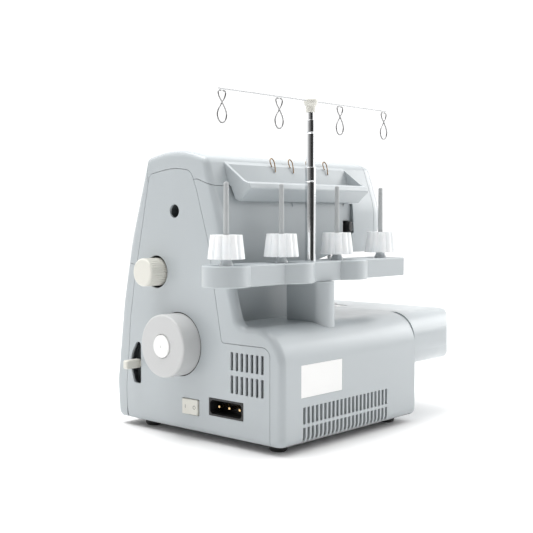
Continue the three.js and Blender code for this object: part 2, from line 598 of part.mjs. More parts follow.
function addControls() {
  const { y, z, radius, face } = LENGTH_KNOB;
  const knob = turned([
    [0, -18], [3.5, -18], [3.5, -7], [radius, -7], [radius, face - 2.5], [radius - 2.5, face], [0, face],
  ], X_AXIS, [0, y, z], 24);
  addPiece("stitch_length_knob", knob, MATERIALS.cream);

  const hub = rod(6, 5.4, X_AXIS, [-9, FEED_LEVER.y, FEED_LEVER.z], 16);
  const arm = feedLeverSector(0.5, 23, 10, -9, -3.6).add(hub);
  const tab = prismX([[-212, 63.5, 2], [-212, 73, 2], [-204.5, 73, 2], [-204.5, 63.5, 2]], -3.7, 15, 30);
  addPiece("differential_lever", arm.add(tab), MATERIALS.cream);

  const { x: px, y: py } = SWITCH;
  const rocker = [
    [px - 6, py - 6], [px + 1, py - 11.2], [px + 6.6, py - 10.4], [px + 3.6, py], [px + 4.6, py + 10.9],
    [px + 1, py + 11.3], [px - 6, py + 6],
  ];
  addPiece("power_switch", prismZ(rocker, SWITCH.z - SWITCH.height / 2, SWITCH.z + SWITCH.height / 2),
    MATERIALS.cream);

  const { y0, y1, z0, z1, depth } = INLET;
  const shell = block([-depth, 0.4], [y0 + CLEAR, y1 - CLEAR], [z0 + CLEAR, z1 - CLEAR]);
  const hollow = block([-depth + 3, 1], [y0 + 4, y1 - 4], [z0 + 3.5, z1 - 3.5]);
  const pinPlaces = [-87, -73, -59];
  const sockets = pinPlaces.map((pinY) => rod(2.4, 10, X_AXIS, [-depth - 5, pinY, 36.8], 12));
  addPiece("inlet_socket", cut(shell, [hollow, ...sockets]), MATERIALS.black);
  const carrier = block([-depth - 3, -depth - 0.5], [-92, -54], [33, 41]);
  const pins = pinPlaces.map((pinY) => rod(2, 22, X_AXIS, [-depth - 1, pinY, 36.8], 12));
  addPiece("inlet_contacts", join([carrier, ...pins]), MATERIALS.brass);
}

function addTensionDials() {
  for (let index = 0; index < 4; index += 1) {
    const x = threadX(index) - 4.5;
    const profile = [[0, 0], [18.5, 0], [20, 1.5], [20, 7.5], [18.5, 9], [0, 9]];
    addPiece(`tension_dial_${index + 1}`, turned(profile, X_AXIS, [x, -190, 240], 24), MATERIALS.pale);
  }
}

// A strip on the head's rear wall with one bent wire hook for each thread.
function addThreadHooks() {
  const strip = block([threadX(3) - 4, threadX(0) + 8], [-94.3, -93.3], [271.5, 275.5]);
  const hooks = [0, 1, 2, 3].map((index) => {
    const x = threadX(index);
    return tubeAlong([
      [x, -93.8, 273], [x + 0.5, -94.6, 280], [x + 2.5, -97.5, 286.5], [x + 5, -97, 283],
      [x + 4, -95, 277.5],
    ], 0.7, 7, 5);
  });
  addPiece("thread_hooks", join([strip, ...hooks]), MATERIALS.brass);
}

// ---------------------------------------------------------------- spool stand

function trayOutline(inset) {
  const { y, halfWidth, left } = TRAY;
  const right = POLE.x + PIN_OFFSETS[0];
  const disc = (x, cy, radius) => rod(radius - inset, 40, Z_AXIS, [x, cy, 150], 32);
  const strip = block([left + inset, right], [y - halfWidth + inset, y + 19 - inset], [150, 190]);
  const lobes = [-53.5, -141.5].map((x) => disc(x, y + 5, 26));
  return join([strip, disc(right, y, 23), ...lobes]);
}

function addSpoolStand() {
  const front = block([-260, 60], [TRAY.y - 22.5, 0], [TRAY.bottom, TRAY.top]);
  const cavity = block([-260, 60], [TRAY.y - 22.5, 0], [TRAY.bottom - 1, TRAY.top - 3]);
  const boss = block([-104, -82], [-62, -24], [TRAY.bottom, TRAY.top - 2]);
  const tray = trayOutline(0).intersect(front).subtract(trayOutline(3).intersect(cavity)).add(boss);
  addPiece("spool_stand", tray, MATERIALS.body);

  const columnOutline = [[-105, -66, 3], [-105, -15.5, 10], [-81, -15.5, 12], [-81, -66, 3]];
  const onBed = prismX(offsetCorners(BASE_OUTLINE, CLEAR), -120, -60, 12);
  const column = prismZ(columnOutline, 90, TRAY.bottom - CLEAR, 22).subtract(onBed);
  addPiece("stand_column", column, MATERIALS.body);

  PIN_OFFSETS.forEach((offset, index) => {
    const place = [POLE.x + offset, TRAY.y, 0];
    const foot = TRAY.top + CLEAR;
    addPiece(`spool_pin_${index + 1}`, turned([
      [0, foot], [7.5, foot], [5, foot + 6.8], [3.2, foot + 7], [2.3, PIN_TOP - 1], [1.6, PIN_TOP],
      [0, PIN_TOP],
    ], Z_AXIS, place, 12), MATERIALS.pin);
    addPiece(`spool_cone_${index + 1}`, coneSolid(place), MATERIALS.cone);
  });
}

// A tapered cone with pointed flutes round it.
function coneSolid([x, y]) {
  const flutes = 10;
  const star = (radius) => Array.from({ length: flutes * 2 }, (_, index) => {
    const angle = (Math.PI * index) / flutes;
    const reach = index % 2 === 0 ? radius : radius - 2.2;
    return new THREE.Vector3(reach * Math.cos(angle), reach * Math.sin(angle), 0);
  });
  const low = star(CONE.radiusBottom);
  const high = star(CONE.radiusTop);
  const positions = [0, 0, CONE.bottom, 0, 0, CONE.top];
  low.forEach((p) => positions.push(p.x, p.y, CONE.bottom));
  high.forEach((p) => positions.push(p.x, p.y, CONE.top));
  const faces = [];
  const count = low.length;
  for (let index = 0; index < count; index += 1) {
    const next = (index + 1) % count;
    const [a, b] = [2 + index, 2 + next];
    const [c, d] = [2 + count + index, 2 + count + next];
    faces.push(0, b, a, 1, c, d, a, b, d, a, d, c);
  }
  const geometry = new THREE.BufferGeometry();
  geometry.setAttribute("position", new THREE.Float32BufferAttribute(positions, 3));
  geometry.setIndex(faces);
  geometry.translate(x, y, 0);
  return toSolid(geometry).subtract(rod(CONE.bore, 40, Z_AXIS, [x, y, 180], 12));
}

// ---------------------------------------------------------------- telescopic thread guide

function tube(outer, inner, z0, z1) {
  const profile = [[inner, z0], [outer, z0], [outer, z1], [inner, z1], [inner, z0]];
  return turned(profile, Z_AXIS, [POLE.x, TRAY.y, 0], 16);
}

function eyeSolid(x) {
  const top = BAR.z - BAR.radius - 1.1;
  const cross = BAR.z - 13.5;
  const bottom = BAR.z - 31;
  return tubeAlong([
    [x - 0.9, TRAY.y, top], [x - 5, TRAY.y - 0.3, top - 3.5], [x - 4.6, TRAY.y - 0.8, top - 7.5],
    [x, TRAY.y - 0.9, cross], [x + 6, TRAY.y - 0.4, cross - 8], [x + 3.4, TRAY.y, bottom + 1.6],
    [x, TRAY.y, bottom], [x - 3.4, TRAY.y, bottom + 1.6], [x - 6, TRAY.y + 0.4, cross - 8],
    [x, TRAY.y + 0.9, cross],
    [x + 4.6, TRAY.y + 0.8, top - 7.5], [x + 5, TRAY.y + 0.3, top - 3.5], [x + 0.9, TRAY.y, top],
  ], BAR.radius, 30, 5);
}

function addThreadGuide() {
  const { tubeLength, lowerTop, middleTop, upperTop } = POLE;
  addPiece("pole_lower", tube(5.5, 4.8, TRAY.top + CLEAR, lowerTop), MATERIALS.chrome);
  addPiece("pole_middle", tube(4.5, 3.8, middleTop - tubeLength, middleTop), MATERIALS.chrome);
  addPiece("pole_upper", tube(3.5, 2.8, upperTop - tubeLength, upperTop), MATERIALS.chrome);
  const cap = turned([
    [0, upperTop + CLEAR], [5, upperTop + CLEAR], [5, upperTop + 6], [7.3, upperTop + 9],
    [7.3, upperTop + 13], [0, upperTop + 13],
  ], Z_AXIS, [POLE.x, TRAY.y, 0], 24);
  const groove = block([POLE.x - 10, POLE.x + 10], [TRAY.y - 1.2, TRAY.y + 1.2], [BAR.z - 1.2, BAR.z + 5]);
  addPiece("guide_cap", cap.subtract(groove), MATERIALS.cream);
  const rail = rod(BAR.radius, BAR.right - BAR.left, X_AXIS, [BAR.left, TRAY.y, BAR.z], 8);
  addPiece("guide_bar", rail, MATERIALS.steel);
  EYE_OFFSETS.forEach((offset, index) => {
    addPiece(`thread_eye_${index + 1}`, eyeSolid(POLE.x + offset), MATERIALS.steel);
  });
}

// ---------------------------------------------------------------- assembly

addHousing();
addBase();
addClothPlate();
addFrame();
addDrive();
addStitchParts();
addLoopers();
addControls();
addTensionDials();
addThreadHooks();
addSpoolStand();
addThreadGuide();

group.position.set(-(LIMITS.left + LIMITS.right) / 2, -(LIMITS.front + LIMITS.back) / 2, 0);

export default group;
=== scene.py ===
"""The looks of a serger (overlock sewing machine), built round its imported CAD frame."""

import json
import math

import bmesh
import bpy
from mathutils import Matrix, Vector


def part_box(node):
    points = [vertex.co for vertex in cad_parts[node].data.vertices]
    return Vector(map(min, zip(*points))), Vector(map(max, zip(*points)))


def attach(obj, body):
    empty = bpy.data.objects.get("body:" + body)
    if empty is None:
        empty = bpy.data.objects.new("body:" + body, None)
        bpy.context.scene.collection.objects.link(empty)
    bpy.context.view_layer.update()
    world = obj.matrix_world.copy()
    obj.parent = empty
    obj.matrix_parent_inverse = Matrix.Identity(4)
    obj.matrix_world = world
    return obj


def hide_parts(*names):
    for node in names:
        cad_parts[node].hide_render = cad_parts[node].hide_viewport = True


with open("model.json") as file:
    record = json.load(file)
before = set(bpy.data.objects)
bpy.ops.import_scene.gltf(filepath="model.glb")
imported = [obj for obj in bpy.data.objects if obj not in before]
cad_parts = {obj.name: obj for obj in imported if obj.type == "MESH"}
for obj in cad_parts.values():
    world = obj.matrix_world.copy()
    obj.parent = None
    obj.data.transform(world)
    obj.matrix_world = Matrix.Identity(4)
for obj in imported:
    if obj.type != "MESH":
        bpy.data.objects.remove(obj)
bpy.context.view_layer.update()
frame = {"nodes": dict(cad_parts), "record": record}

# ------------------------------------------------------------------ frame and units
# Shapes are drawn in millimetres in the machine's corner frame: X = 0 is the handwheel side, Y = 0
# the back and Z = 0 the table. settle() turns a finished mesh into metres in the row frame.

MM = 0.001
CORNER = Vector((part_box("side_cover")[1].x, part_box("rear_casing")[1].y, 0))
TO_ROW = Matrix.Translation(CORNER) @ Matrix.Scale(MM, 4)

WALL = 2.5
SEAM = 0.5
ARC_STEP = 5.0

BODY_BOTTOM = 7
BED_TOP = 119.5
BASE_LEFT = -222
TOWER_LEFT = -122
HEAD_LEFT = -285
HEAD_BOTTOM = 185
FACE_SPLIT = -262

HANDWHEEL = {"y": -140.5, "z": 95, "radius": 32, "face": 23}
KNOB = {"y": -174, "z": 168, "radius": 14.5, "face": 20, "grooves": 36}
LEVER = {"y": -188, "z": 68}
SWITCH = {"x": -4, "y": -122.8, "z": 32.8, "height": 15.6, "opening": 12.3}
INLET = {"y0": -96.8, "y1": -49.5, "z0": 27.8, "z1": 45.8, "depth": 22}
SCREW_HOLE = {"y": -146, "z": 231, "radius": 6.9}
RECESS = {"x0": -219, "x1": -10, "y": -86, "z1": 243}
HANDLE = {"x0": -222, "x1": -25, "wall": 3}
PLATE = {"x1": -219, "y0": -191.5, "y1": -116.5}
NEEDLE = {"x": -236, "y": -152}
PRESSER = {"x": -236, "y": -131}
COVER_HINGE = {"y": -233.5, "z": 13, "relief": 12.9, "reach": 163.3}
THREAD_X = [-96.5 - 29.6 * index for index in range(4)]

TRAY = {"bottom": 160, "top": 180, "y": -43, "half": 22, "left": -237}
POLE_X = -93.1
PIN_X = [POLE_X + offset for offset in (122.8, 45, -44.1, -122.9)]
PIN_TOP = 257.5
CONE = {"bottom": 186, "top": 208.5, "wide": 17.5, "narrow": 15, "bore": 3.7, "flute": 1.7}
BAR = {"z": 342.6, "right": 39.5, "left": -224.9, "radius": 0.75}
EYE_X = [POLE_X + offset for offset in (128, 48.5, -48.5, -128)]

TOWER_OUTLINE = [
    (0, BODY_BOTTOM, 9), (0, BED_TOP, 35), (-57.5, BED_TOP, 12), (-66, 150, 60), (-81, 218, 80),
    (-101, 284, 12), (-140, 296.8, 120), (-189, 287, 7), (-216, 200, 120), (-230, 135, 120),
    (-241.8, 46.5, 60), (-239, BODY_BOTTOM, 9),
]
BASE_OUTLINE = [
    (0, BODY_BOTTOM, 9), (0, BED_TOP, 35), (-232, BED_TOP, 9), (-241.8, 46.5, 60), (-239, BODY_BOTTOM, 9),
]
HEAD_OUTLINE = [
    (-83, 160), (-85.5, 238, 60), (-101, 284, 12), (-140, 296.8, 120), (-189, 287, 7), (-216, 200, 80),
    (-226, 160),
]
# Seen from above and from the back, the head's free end is rounded and draws in towards its bottom.
HEAD_PLAN = [(10, -60), (-264, -60), (HEAD_LEFT, -90, 24), (HEAD_LEFT, -230, 26), (10, -230)]
HEAD_FRONT = [
    (10, 150), (10, 320), (HEAD_LEFT, 320), (HEAD_LEFT, 240, 60), (-257, HEAD_BOTTOM - 2), (-257, 150),
]
HEAD_END_ROUND = 20
TOWER_EDGE_ROUND = 7
SIDE_OUTLINE = [
    (-15.5, 0), (-15.5, 101.5, 9), (-79, 101.5, 4), (-89, 154, 90), (-97, 199, 90), (-114, 253, 40),
    (-122, 271.5, 12), (-148, 275, 90), (-184, 269, 7), (-209, 156, 90), (-215.6, 118), (-218.5, 85),
    (-223, 42, 60), (-221.6, 0),
]
TOP_OUTLINE = [
    (-186.5, 330), (-186.5, 262), (-112, 263, 4), (-89, 255.2, 4), (-40, 255.2), (-40, 330),
]
FRONT_PANEL_OUTLINE = [
    (-300, 330), (-187, 330), (-187, 262), (-160, 262), (-185, 166), (-300, 166),
]
COVER_OUTLINE = [
    (-300, -5), (-228, -5), (-222, 8.5), (-223, 42), (-219, 85), (-216, 118), (-209.4, 156), (-200, 186),
    (-300, 186),
]

# The feed lever's slot is a crescent beside the handwheel.
LEVER_SLOT = [
    (-199.5, 47.5, 3), (-210.5, 47.5, 3), (-215.2, 60, 20), (-215.2, 78, 20), (-206.5, 92, 4),
    (-199.5, 92, 4),
]
NOSE_SECTION = [(-3, 58, 28), (-3, 119.2, 28), (-214, 119.2, 12), (-214, 58, 20)]

# Grids of upright slots: the middle of the first column, the step to the next one, and the rows.
SIDE_VENTS = {"first": -64.9, "pitch": 6.65, "columns": 7, "half": 1.7, "round": 0.5,
              "rows": ((53.4, 71.1), (76, 93.8))}
BACK_VENTS = {"first": -32.6, "pitch": -6.43, "columns": 22, "half": 1.85, "round": 0.6,
              "rows": ((27, 43.4), (9.5, 24))}
LABEL = {"x0": -91.6, "x1": -28, "z0": 52.6, "z1": 84, "gap": 0.3, "depth": 0.4}
LIFTER = {"x": -250, "z": 214}
LIFTER_WINDOW = {"x0": -222, "x1": -203.5, "z0": 206.5, "z1": 240}

# ------------------------------------------------------------------ outlines


def rounded(corners, step=ARC_STEP):
    """Points of a closed outline: a corner (u, v, radius) becomes a run of arc points."""
    flat = [Vector(corner[:2]) for corner in corners]
    radii = [corner[2] if len(corner) > 2 else 0 for corner in corners]
    count = len(flat)
    sides = [flat[(i + 1) % count] - flat[i] for i in range(count)]
    halves = [(-sides[i - 1]).angle(sides[i], math.pi) / 2 for i in range(count)]
    wanted = [radii[i] / math.tan(halves[i]) for i in range(count)]
    both = [max(wanted[i] + wanted[(i + 1) % count], 1e-9) for i in range(count)]
    fits = [min(1, 0.98 * side.length / need) for side, need in zip(sides, both)]
    points = []
    for i, corner in enumerate(flat):
        reach = wanted[i] * min(fits[i], fits[i - 1])
        if reach < 1e-6:
            points.append(corner)
            continue
        back = (-sides[i - 1]).normalized()
        ahead = sides[i].normalized()
        radius = reach * math.tan(halves[i])
        centre = corner + (back + ahead).normalized() * (radius / math.sin(halves[i]))
        first = corner + back * reach - centre
        last = corner + ahead * reach - centre
        turn = math.atan2(first.x * last.y - first.y * last.x, first.dot(last))
        start = math.atan2(first.y, first.x)
        steps = max(1, round(abs(math.degrees(turn)) / step))
        for k in range(steps + 1):
            angle = start + turn * k / steps
            points.append(centre + Vector((math.cos(angle), math.sin(angle))) * radius)
    return points


def offset(corners, distance):
    """Moves every side of an outline outwards by distance, or inwards if it is negative."""
    flat = [Vector(corner[:2]) for corner in corners]
    count = len(flat)
    area = sum(flat[i - 1].x * flat[i].y - flat[i].x * flat[i - 1].y for i in range(count))
    sign = 1 if area > 0 else -1
    lines = []
    for i in range(count):
        along = (flat[(i + 1) % count] - flat[i]).normalized()
        lines.append((flat[i] + Vector((along.y, -along.x)) * sign * distance, along))
    result = []
    for i, corner in enumerate(corners):
        (point_a, dir_a), (point_b, dir_b) = lines[i - 1], lines[i]
        cross = dir_a.x * dir_b.y - dir_a.y * dir_b.x
        radius = corner[2] if len(corner) > 2 else 0
        if radius:
            radius = max(radius + (distance if cross * sign > 0 else -distance), 0.2)
        meet = point_b
        if abs(cross) > 1e-6:
            gap = point_b - point_a
            meet = point_a + dir_a * ((gap.x * dir_b.y - gap.y * dir_b.x) / cross)
        result.append((meet.x, meet.y, radius))
    return result


def rectangle(u0, u1, v0, v1, radius=0):
    return [(u0, v0, radius), (u1, v0, radius), (u1, v1, radius), (u0, v1, radius)]


def circle_points(centre, radius, angles):
    """Points on a circle at the given angles, in degrees."""
    return [(centre[0] + radius * math.cos(math.radians(angle)),
             centre[1] + radius * math.sin(math.radians(angle))) for angle in angles]


# ------------------------------------------------------------------ solids

AXES = {
    "X": lambda u, v, w: (w, u, v),
    "Y": lambda u, v, w: (u, w, v),
    "Z": lambda u, v, w: (u, v, w),
}


def mesh_object(name, verts, faces):
    mesh = bpy.data.meshes.new(name)
    mesh.from_pydata([tuple(v) for v in verts], [], faces)
    work = bmesh.new()
    work.from_mesh(mesh)
    bmesh.ops.recalc_face_normals(work, faces=work.faces)
    work.to_mesh(mesh)
    work.free()
    obj = bpy.data.objects.new(name, mesh)
    bpy.context.scene.collection.objects.link(obj)
    return obj


def loft(axis, rings):
    """A solid through rings of equally many points: each ring is (points, place along the axis)."""
    verts = []
    faces = []
    count = len(rings[0][0])
    for points, w in rings:
        verts.extend(AXES[axis](p[0], p[1], w) for p in points)
    for ring in range(len(rings) - 1):
        for i in range(count):
            j = (i + 1) % count
            a, b = ring * count, (ring + 1) * count
            faces.append((a + i, a + j, b + j, b + i))
    faces.append(tuple(range(count)))
    faces.append(tuple(range((len(rings) - 1) * count, len(rings) * count)))
    return mesh_object("solid", verts, faces)


def prism(axis, corners, low, high, low_round=0, high_round=0, step=ARC_STEP):
    """An extruded outline whose two end edges may be rounded."""
    rings = []
    steps = 6
    if low_round:
        for k in range(steps):
            angle = math.pi / 2 * k / steps
            inset = low_round * (1 - math.sin(angle))
            rings.append((inset, low + low_round * (1 - math.cos(angle))))
    rings.append((0, low + low_round))
    rings.append((0, high - high_round))
    if high_round:
        for k in range(steps - 1, -1, -1):
            angle = math.pi / 2 * k / steps
            inset = high_round * (1 - math.sin(angle))
            rings.append((inset, high - high_round * (1 - math.cos(angle))))
    outlines = [(offset(corners, -inset) if inset else corners, w) for inset, w in rings]
    return loft(axis, [(rounded(outline, step), w) for outline, w in outlines])


def inset_convex(points, distance):
    """A convex outline moved inwards, with one new point on each ray from its middle to an old one."""
    middle = sum(points, Vector((0, 0))) / len(points)
    planes = []
    for i, point in enumerate(points):
        along = (point - points[i - 1]).normalized()
        normal = Vector((along.y, -along.x))
        if normal.dot(point - middle) < 0:
            normal.negate()
        planes.append((normal, normal.dot(point - middle) - distance))
    result = []
    for point in points:
        ray = (point - middle).normalized()
        reach = min(room / normal.dot(ray) for normal, room in planes if normal.dot(ray) > 1e-6)
        result.append(middle + ray * reach)
    return result


def domed_prism(axis, corners, low, high, radius, inset=0):
    """A convex outline extruded from low to high, rounded over by radius at its low end."""
    points = inset_convex(rounded(corners), inset) if inset else rounded(corners)
    steps = 8
    rings = []
    for k in range(steps + 1):
        angle = math.pi / 2 * k / steps
        away = radius * (1 - math.sin(angle))
        rings.append((inset_convex(points, away) if k < steps else points,
                      low + radius * (1 - math.cos(angle))))
    rings.append((points, high))
    return loft(axis, rings)


def block(x, y, z):
    """A box between two x, two y and two z."""
    return prism("Z", rectangle(*x, *y), *z)


def turned(profile, axis="Z", centre=(0, 0), sides=64):
    """A turned solid. The profile is (radius, place) points; centre is in the plane across the axis."""
    closed = profile[0][0] > 0
    verts = []
    rows = []
    for radius, w in profile:
        row = []
        spokes = 1 if radius == 0 else sides
        for i in range(spokes):
            angle = 2 * math.pi * i / sides
            u = centre[0] + radius * math.cos(angle)
            v = centre[1] + radius * math.sin(angle)
            row.append(len(verts))
            verts.append(AXES[axis](u, v, w))
        rows.append(row)
    faces = []
    pairs = list(zip(rows, rows[1:]))
    if closed:
        pairs.append((rows[-1], rows[0]))
    for row_a, row_b in pairs:
        for i in range(sides):
            j = (i + 1) % sides
            face = [row[k % len(row)] for row, k in ((row_a, i), (row_a, j), (row_b, j), (row_b, i))]
            unique = list(dict.fromkeys(face))
            if len(unique) > 2:
                faces.append(unique)
    return mesh_object("turned", verts, faces)


def arc(centre, radius, start, end, steps):
    """Points on a circle, for a turned profile's fillet; angles in degrees."""
    return circle_points(centre, radius, [start + (end - start) * k / steps for k in range(steps + 1)])


def rod(radius, axis, centre, low, high, sides=48, edge=0):
    profile = [(0, low), (radius, low), (radius, high), (0, high)]
    if edge:
        profile = [(0, low)] + arc((radius - edge, low + edge), edge, -90, 0, 4)
        profile += arc((radius - edge, high - edge), edge, 0, 90, 4) + [(0, high)]
    return turned(profile, axis, centre, sides)


def wire(points, radius, sides=12, steps=6):
    """A round wire through points, as a mesh with round section and closed ends."""
    curve = bpy.data.curves.new("wire", "CURVE")
    curve.dimensions = "3D"
    spline = curve.splines.new("BEZIER")
    spline.bezier_points.add(len(points) - 1)
    for bezier, point in zip(spline.bezier_points, points):
        bezier.co = point
        bezier.handle_left_type = "AUTO"
        bezier.handle_right_type = "AUTO"
    curve.resolution_u = steps
    curve.bevel_depth = radius
    curve.bevel_resolution = max(1, sides // 4 - 1)
    curve.use_fill_caps = True
    obj = bpy.data.objects.new("wire", curve)
    bpy.context.scene.collection.objects.link(obj)
    mesh = evaluated_mesh(obj)
    bpy.data.objects.remove(obj)
    result = bpy.data.objects.new("wire", mesh)
    bpy.context.scene.collection.objects.link(result)
    return result


def evaluated_mesh(obj):
    bpy.context.view_layer.update()
    depsgraph = bpy.context.evaluated_depsgraph_get()
    return bpy.data.meshes.new_from_object(obj.evaluated_get(depsgraph))


def apply_modifiers(obj):
    mesh = evaluated_mesh(obj)
    obj.modifiers.clear()
    old = obj.data
    obj.data = mesh
    bpy.data.meshes.remove(old)
    return obj


def boolean(obj, tools, operation):
    """Joins to, cuts from or keeps of obj each of the tools, which are then gone."""
    for tool in tools:
        modifier = obj.modifiers.new("boolean", "BOOLEAN")
        modifier.operation = operation
        modifier.solver = "MANIFOLD"
        modifier.object = tool
    apply_modifiers(obj)
    for tool in tools:
        bpy.data.objects.remove(tool)
    return obj


def join(first, *others):
    return boolean(first, others, "UNION")


def cut(first, *others):
    return boolean(first, others, "DIFFERENCE")


def keep(first, *others):
    return boolean(first, others, "INTERSECT")


def copy(obj):
    twin = obj.copy()
    twin.data = obj.data.copy()
    bpy.context.scene.collection.objects.link(twin)
    return twin


def merge(objects):
    """Several separate solids as one mesh, with no cutting: for cutters and loose sets."""
    work = bmesh.new()
    for obj in objects:
        work.from_mesh(obj.data)
        bpy.data.objects.remove(obj)
    mesh = bpy.data.meshes.new("merged")
    work.to_mesh(mesh)
    work.free()
    result = bpy.data.objects.new("merged", mesh)
    bpy.context.scene.collection.objects.link(result)
    return result


def soften(obj, width, segments=2, angle=35):
    """Flattens a boolean's loose triangles into whole faces and rounds the sharp edges."""
    work = bmesh.new()
    work.from_mesh(obj.data)
    bmesh.ops.remove_doubles(work, verts=work.verts, dist=0.002)
    bmesh.ops.dissolve_limit(work, angle_limit=math.radians(0.6), verts=work.verts, edges=work.edges)
    work.to_mesh(obj.data)
    work.free()
    bevel = obj.modifiers.new("bevel", "BEVEL")
    bevel.width = width
    bevel.segments = segments
    bevel.limit_method = "ANGLE"
    bevel.angle_limit = math.radians(angle)
    bevel.miter_outer = "MITER_ARC"
    bevel.use_clamp_overlap = True
    return apply_modifiers(obj)


def settle(obj, name, body, material, replaces=(), sharp=32):
    """Finishes a solid: its name, place in the row frame, shading, body and material."""
    obj.name = name
    obj.data.name = name
    obj.data.transform(TO_ROW)
    obj.data.materials.clear()
    obj.data.materials.append(material)
    for polygon in obj.data.polygons:
        polygon.use_smooth = True
        polygon.material_index = 0
    obj.data.set_sharp_from_angle(angle=math.radians(sharp))
    weighted = obj.modifiers.new("weighted", "WEIGHTED_NORMAL")
    weighted.keep_sharp = True
    apply_modifiers(obj)
    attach(obj, body)
    if replaces:
        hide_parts(*replaces)
    return obj


# ------------------------------------------------------------------ materials


class Material:
    """A Principled material with helpers that add procedural detail in object space."""

    def __init__(self, name, color, roughness, metallic=0.0):
        self.material = bpy.data.materials.new(name)
        self.material.use_nodes = True
        self.nodes = self.material.node_tree.nodes
        self.links = self.material.node_tree.links
        self.shader = self.nodes["Principled BSDF"]
        self.shader.inputs["Base Color"].default_value = (*color, 1)
        self.shader.inputs["Roughness"].default_value = roughness
        self.shader.inputs["Metallic"].default_value = metallic
        self.color = color
        self.place = self.nodes.new("ShaderNodeTexCoord").outputs["Object"]
        self.height = None

    def noise(self, scale, detail=2.0, stretch=(1, 1, 1)):
        mapping = self.nodes.new("ShaderNodeMapping")
        mapping.inputs["Scale"].default_value = stretch
        self.links.new(self.place, mapping.inputs["Vector"])
        texture = self.nodes.new("ShaderNodeTexNoise")
        texture.inputs["Scale"].default_value = scale
        texture.inputs["Detail"].default_value = detail
        self.links.new(mapping.outputs["Vector"], texture.inputs["Vector"])
        return texture.outputs["Fac"]

    def spread(self, source, low, high):
        ramp = self.nodes.new("ShaderNodeMapRange")
        ramp.inputs["From Min"].default_value = 0.3
        ramp.inputs["From Max"].default_value = 0.7
        ramp.inputs["To Min"].default_value = low
        ramp.inputs["To Max"].default_value = high
        self.links.new(source, ramp.inputs["Value"])
        return ramp.outputs["Result"]

    def vary_color(self, source, other):
        mix = self.nodes.new("ShaderNodeMix")
        mix.data_type = "RGBA"
        mix.inputs["A"].default_value = (*self.color, 1)
        mix.inputs["B"].default_value = (*other, 1)
        self.links.new(self.spread(source, 0, 1), mix.inputs["Factor"])
        self.links.new(mix.outputs["Result"], self.shader.inputs["Base Color"])

    def vary_roughness(self, source, low, high):
        self.links.new(self.spread(source, low, high), self.shader.inputs["Roughness"])

    def bump(self, source, distance, strength=1.0):
        node = self.nodes.new("ShaderNodeBump")
        node.inputs["Distance"].default_value = distance
        node.inputs["Strength"].default_value = strength
        self.links.new(source, node.inputs["Height"])
        if self.height is not None:
            self.links.new(self.height, node.inputs["Normal"])
        self.height = node.outputs["Normal"]
        self.links.new(self.height, self.shader.inputs["Normal"])


def moulded_plastic(name, color, shade, roughness, grain=0.00004, coat=0.0):
    """Satin ABS: a fine spark-eroded grain, faint cloudiness in colour and in gloss."""
    made = Material(name, color, roughness)
    made.vary_color(made.noise(9, 3), shade)
    made.vary_roughness(made.noise(60, 3), roughness - 0.05, roughness + 0.06)
    made.bump(made.noise(2600, 2), grain, 0.07)
    made.shader.inputs["Coat Weight"].default_value = coat
    made.shader.inputs["Coat Roughness"].default_value = 0.22
    made.shader.inputs["Specular IOR Level"].default_value = 0.45
    return made.material


def metal(name, color, roughness, stretch=(1, 1, 1), scale=900, depth=0.00003):
    """A metal with fine scratches that run along the axis with the smallest stretch."""
    made = Material(name, color, roughness, 1.0)
    made.vary_roughness(made.noise(scale, 3, stretch), roughness * 0.7, roughness * 1.5)
    made.bump(made.noise(scale, 2, stretch), depth, 0.25)
    made.vary_color(made.noise(40, 2), tuple(c * 0.9 for c in color))
    return made.material


def make_materials():
    cone = Material("cone_plastic", (0.96, 0.98, 0.985), 0.38)
    cone.shader.inputs["Subsurface Weight"].default_value = 0.4
    cone.shader.inputs["Subsurface Radius"].default_value = (0.01, 0.01, 0.01)
    cone.vary_color(cone.noise(70, 2), (0.90, 0.94, 0.97))
    cone.bump(cone.noise(900, 2), 0.00003, 0.3)
    rubber = Material("rubber", (0.02, 0.02, 0.02), 0.8)
    rubber.vary_color(rubber.noise(80, 2), (0.035, 0.034, 0.033))
    rubber.bump(rubber.noise(1500, 2), 0.00006, 0.5)
    casting = Material("casting", (0.42, 0.43, 0.44), 0.55, 0.85)
    casting.vary_color(casting.noise(60, 3), (0.34, 0.35, 0.36))
    casting.bump(casting.noise(500, 4), 0.0002, 0.4)
    return {
        "body": moulded_plastic("body_plastic", (0.445, 0.48, 0.498), (0.44, 0.475, 0.492), 0.34, coat=0.3),
        "pale": moulded_plastic("pale_plastic", (0.57, 0.575, 0.575), (0.55, 0.555, 0.555), 0.36),
        "cap": moulded_plastic("cap_plastic", (0.88, 0.88, 0.87), (0.86, 0.86, 0.85), 0.34),
        "cream": moulded_plastic("cream_plastic", (0.73, 0.72, 0.66), (0.70, 0.69, 0.63), 0.4),
        "pin": moulded_plastic("pin_plastic", (0.44, 0.455, 0.46), (0.41, 0.425, 0.43), 0.38),
        "black": moulded_plastic("black_plastic", (0.012, 0.012, 0.012), (0.02, 0.02, 0.02), 0.35),
        "cone": cone.material,
        "rubber": rubber.material,
        "casting": casting.material,
        "chrome": metal("chrome", (0.86, 0.87, 0.88), 0.06, (1, 1, 0.02), 700, 0.000008),
        "steel": metal("steel", (0.62, 0.62, 0.62), 0.24, (0.05, 1, 1)),
        "brass": metal("brass", (0.72, 0.50, 0.25), 0.22),
        "wire": metal("wire_steel", (0.30, 0.30, 0.30), 0.18),
        "rail": moulded_plastic("rail_enamel", (0.62, 0.63, 0.64), (0.58, 0.59, 0.60), 0.3),
        # This dark grey is painted shade, for the plate behind the lever slot and for the screw's well.
        "shade": moulded_plastic("painted_shade_plastic", (0.085, 0.095, 0.10), (0.07, 0.08, 0.085), 0.5),
        "bronze": metal("bronze", (0.34, 0.22, 0.12), 0.3),
    }


MATERIALS = make_materials()

# ------------------------------------------------------------------ the housing


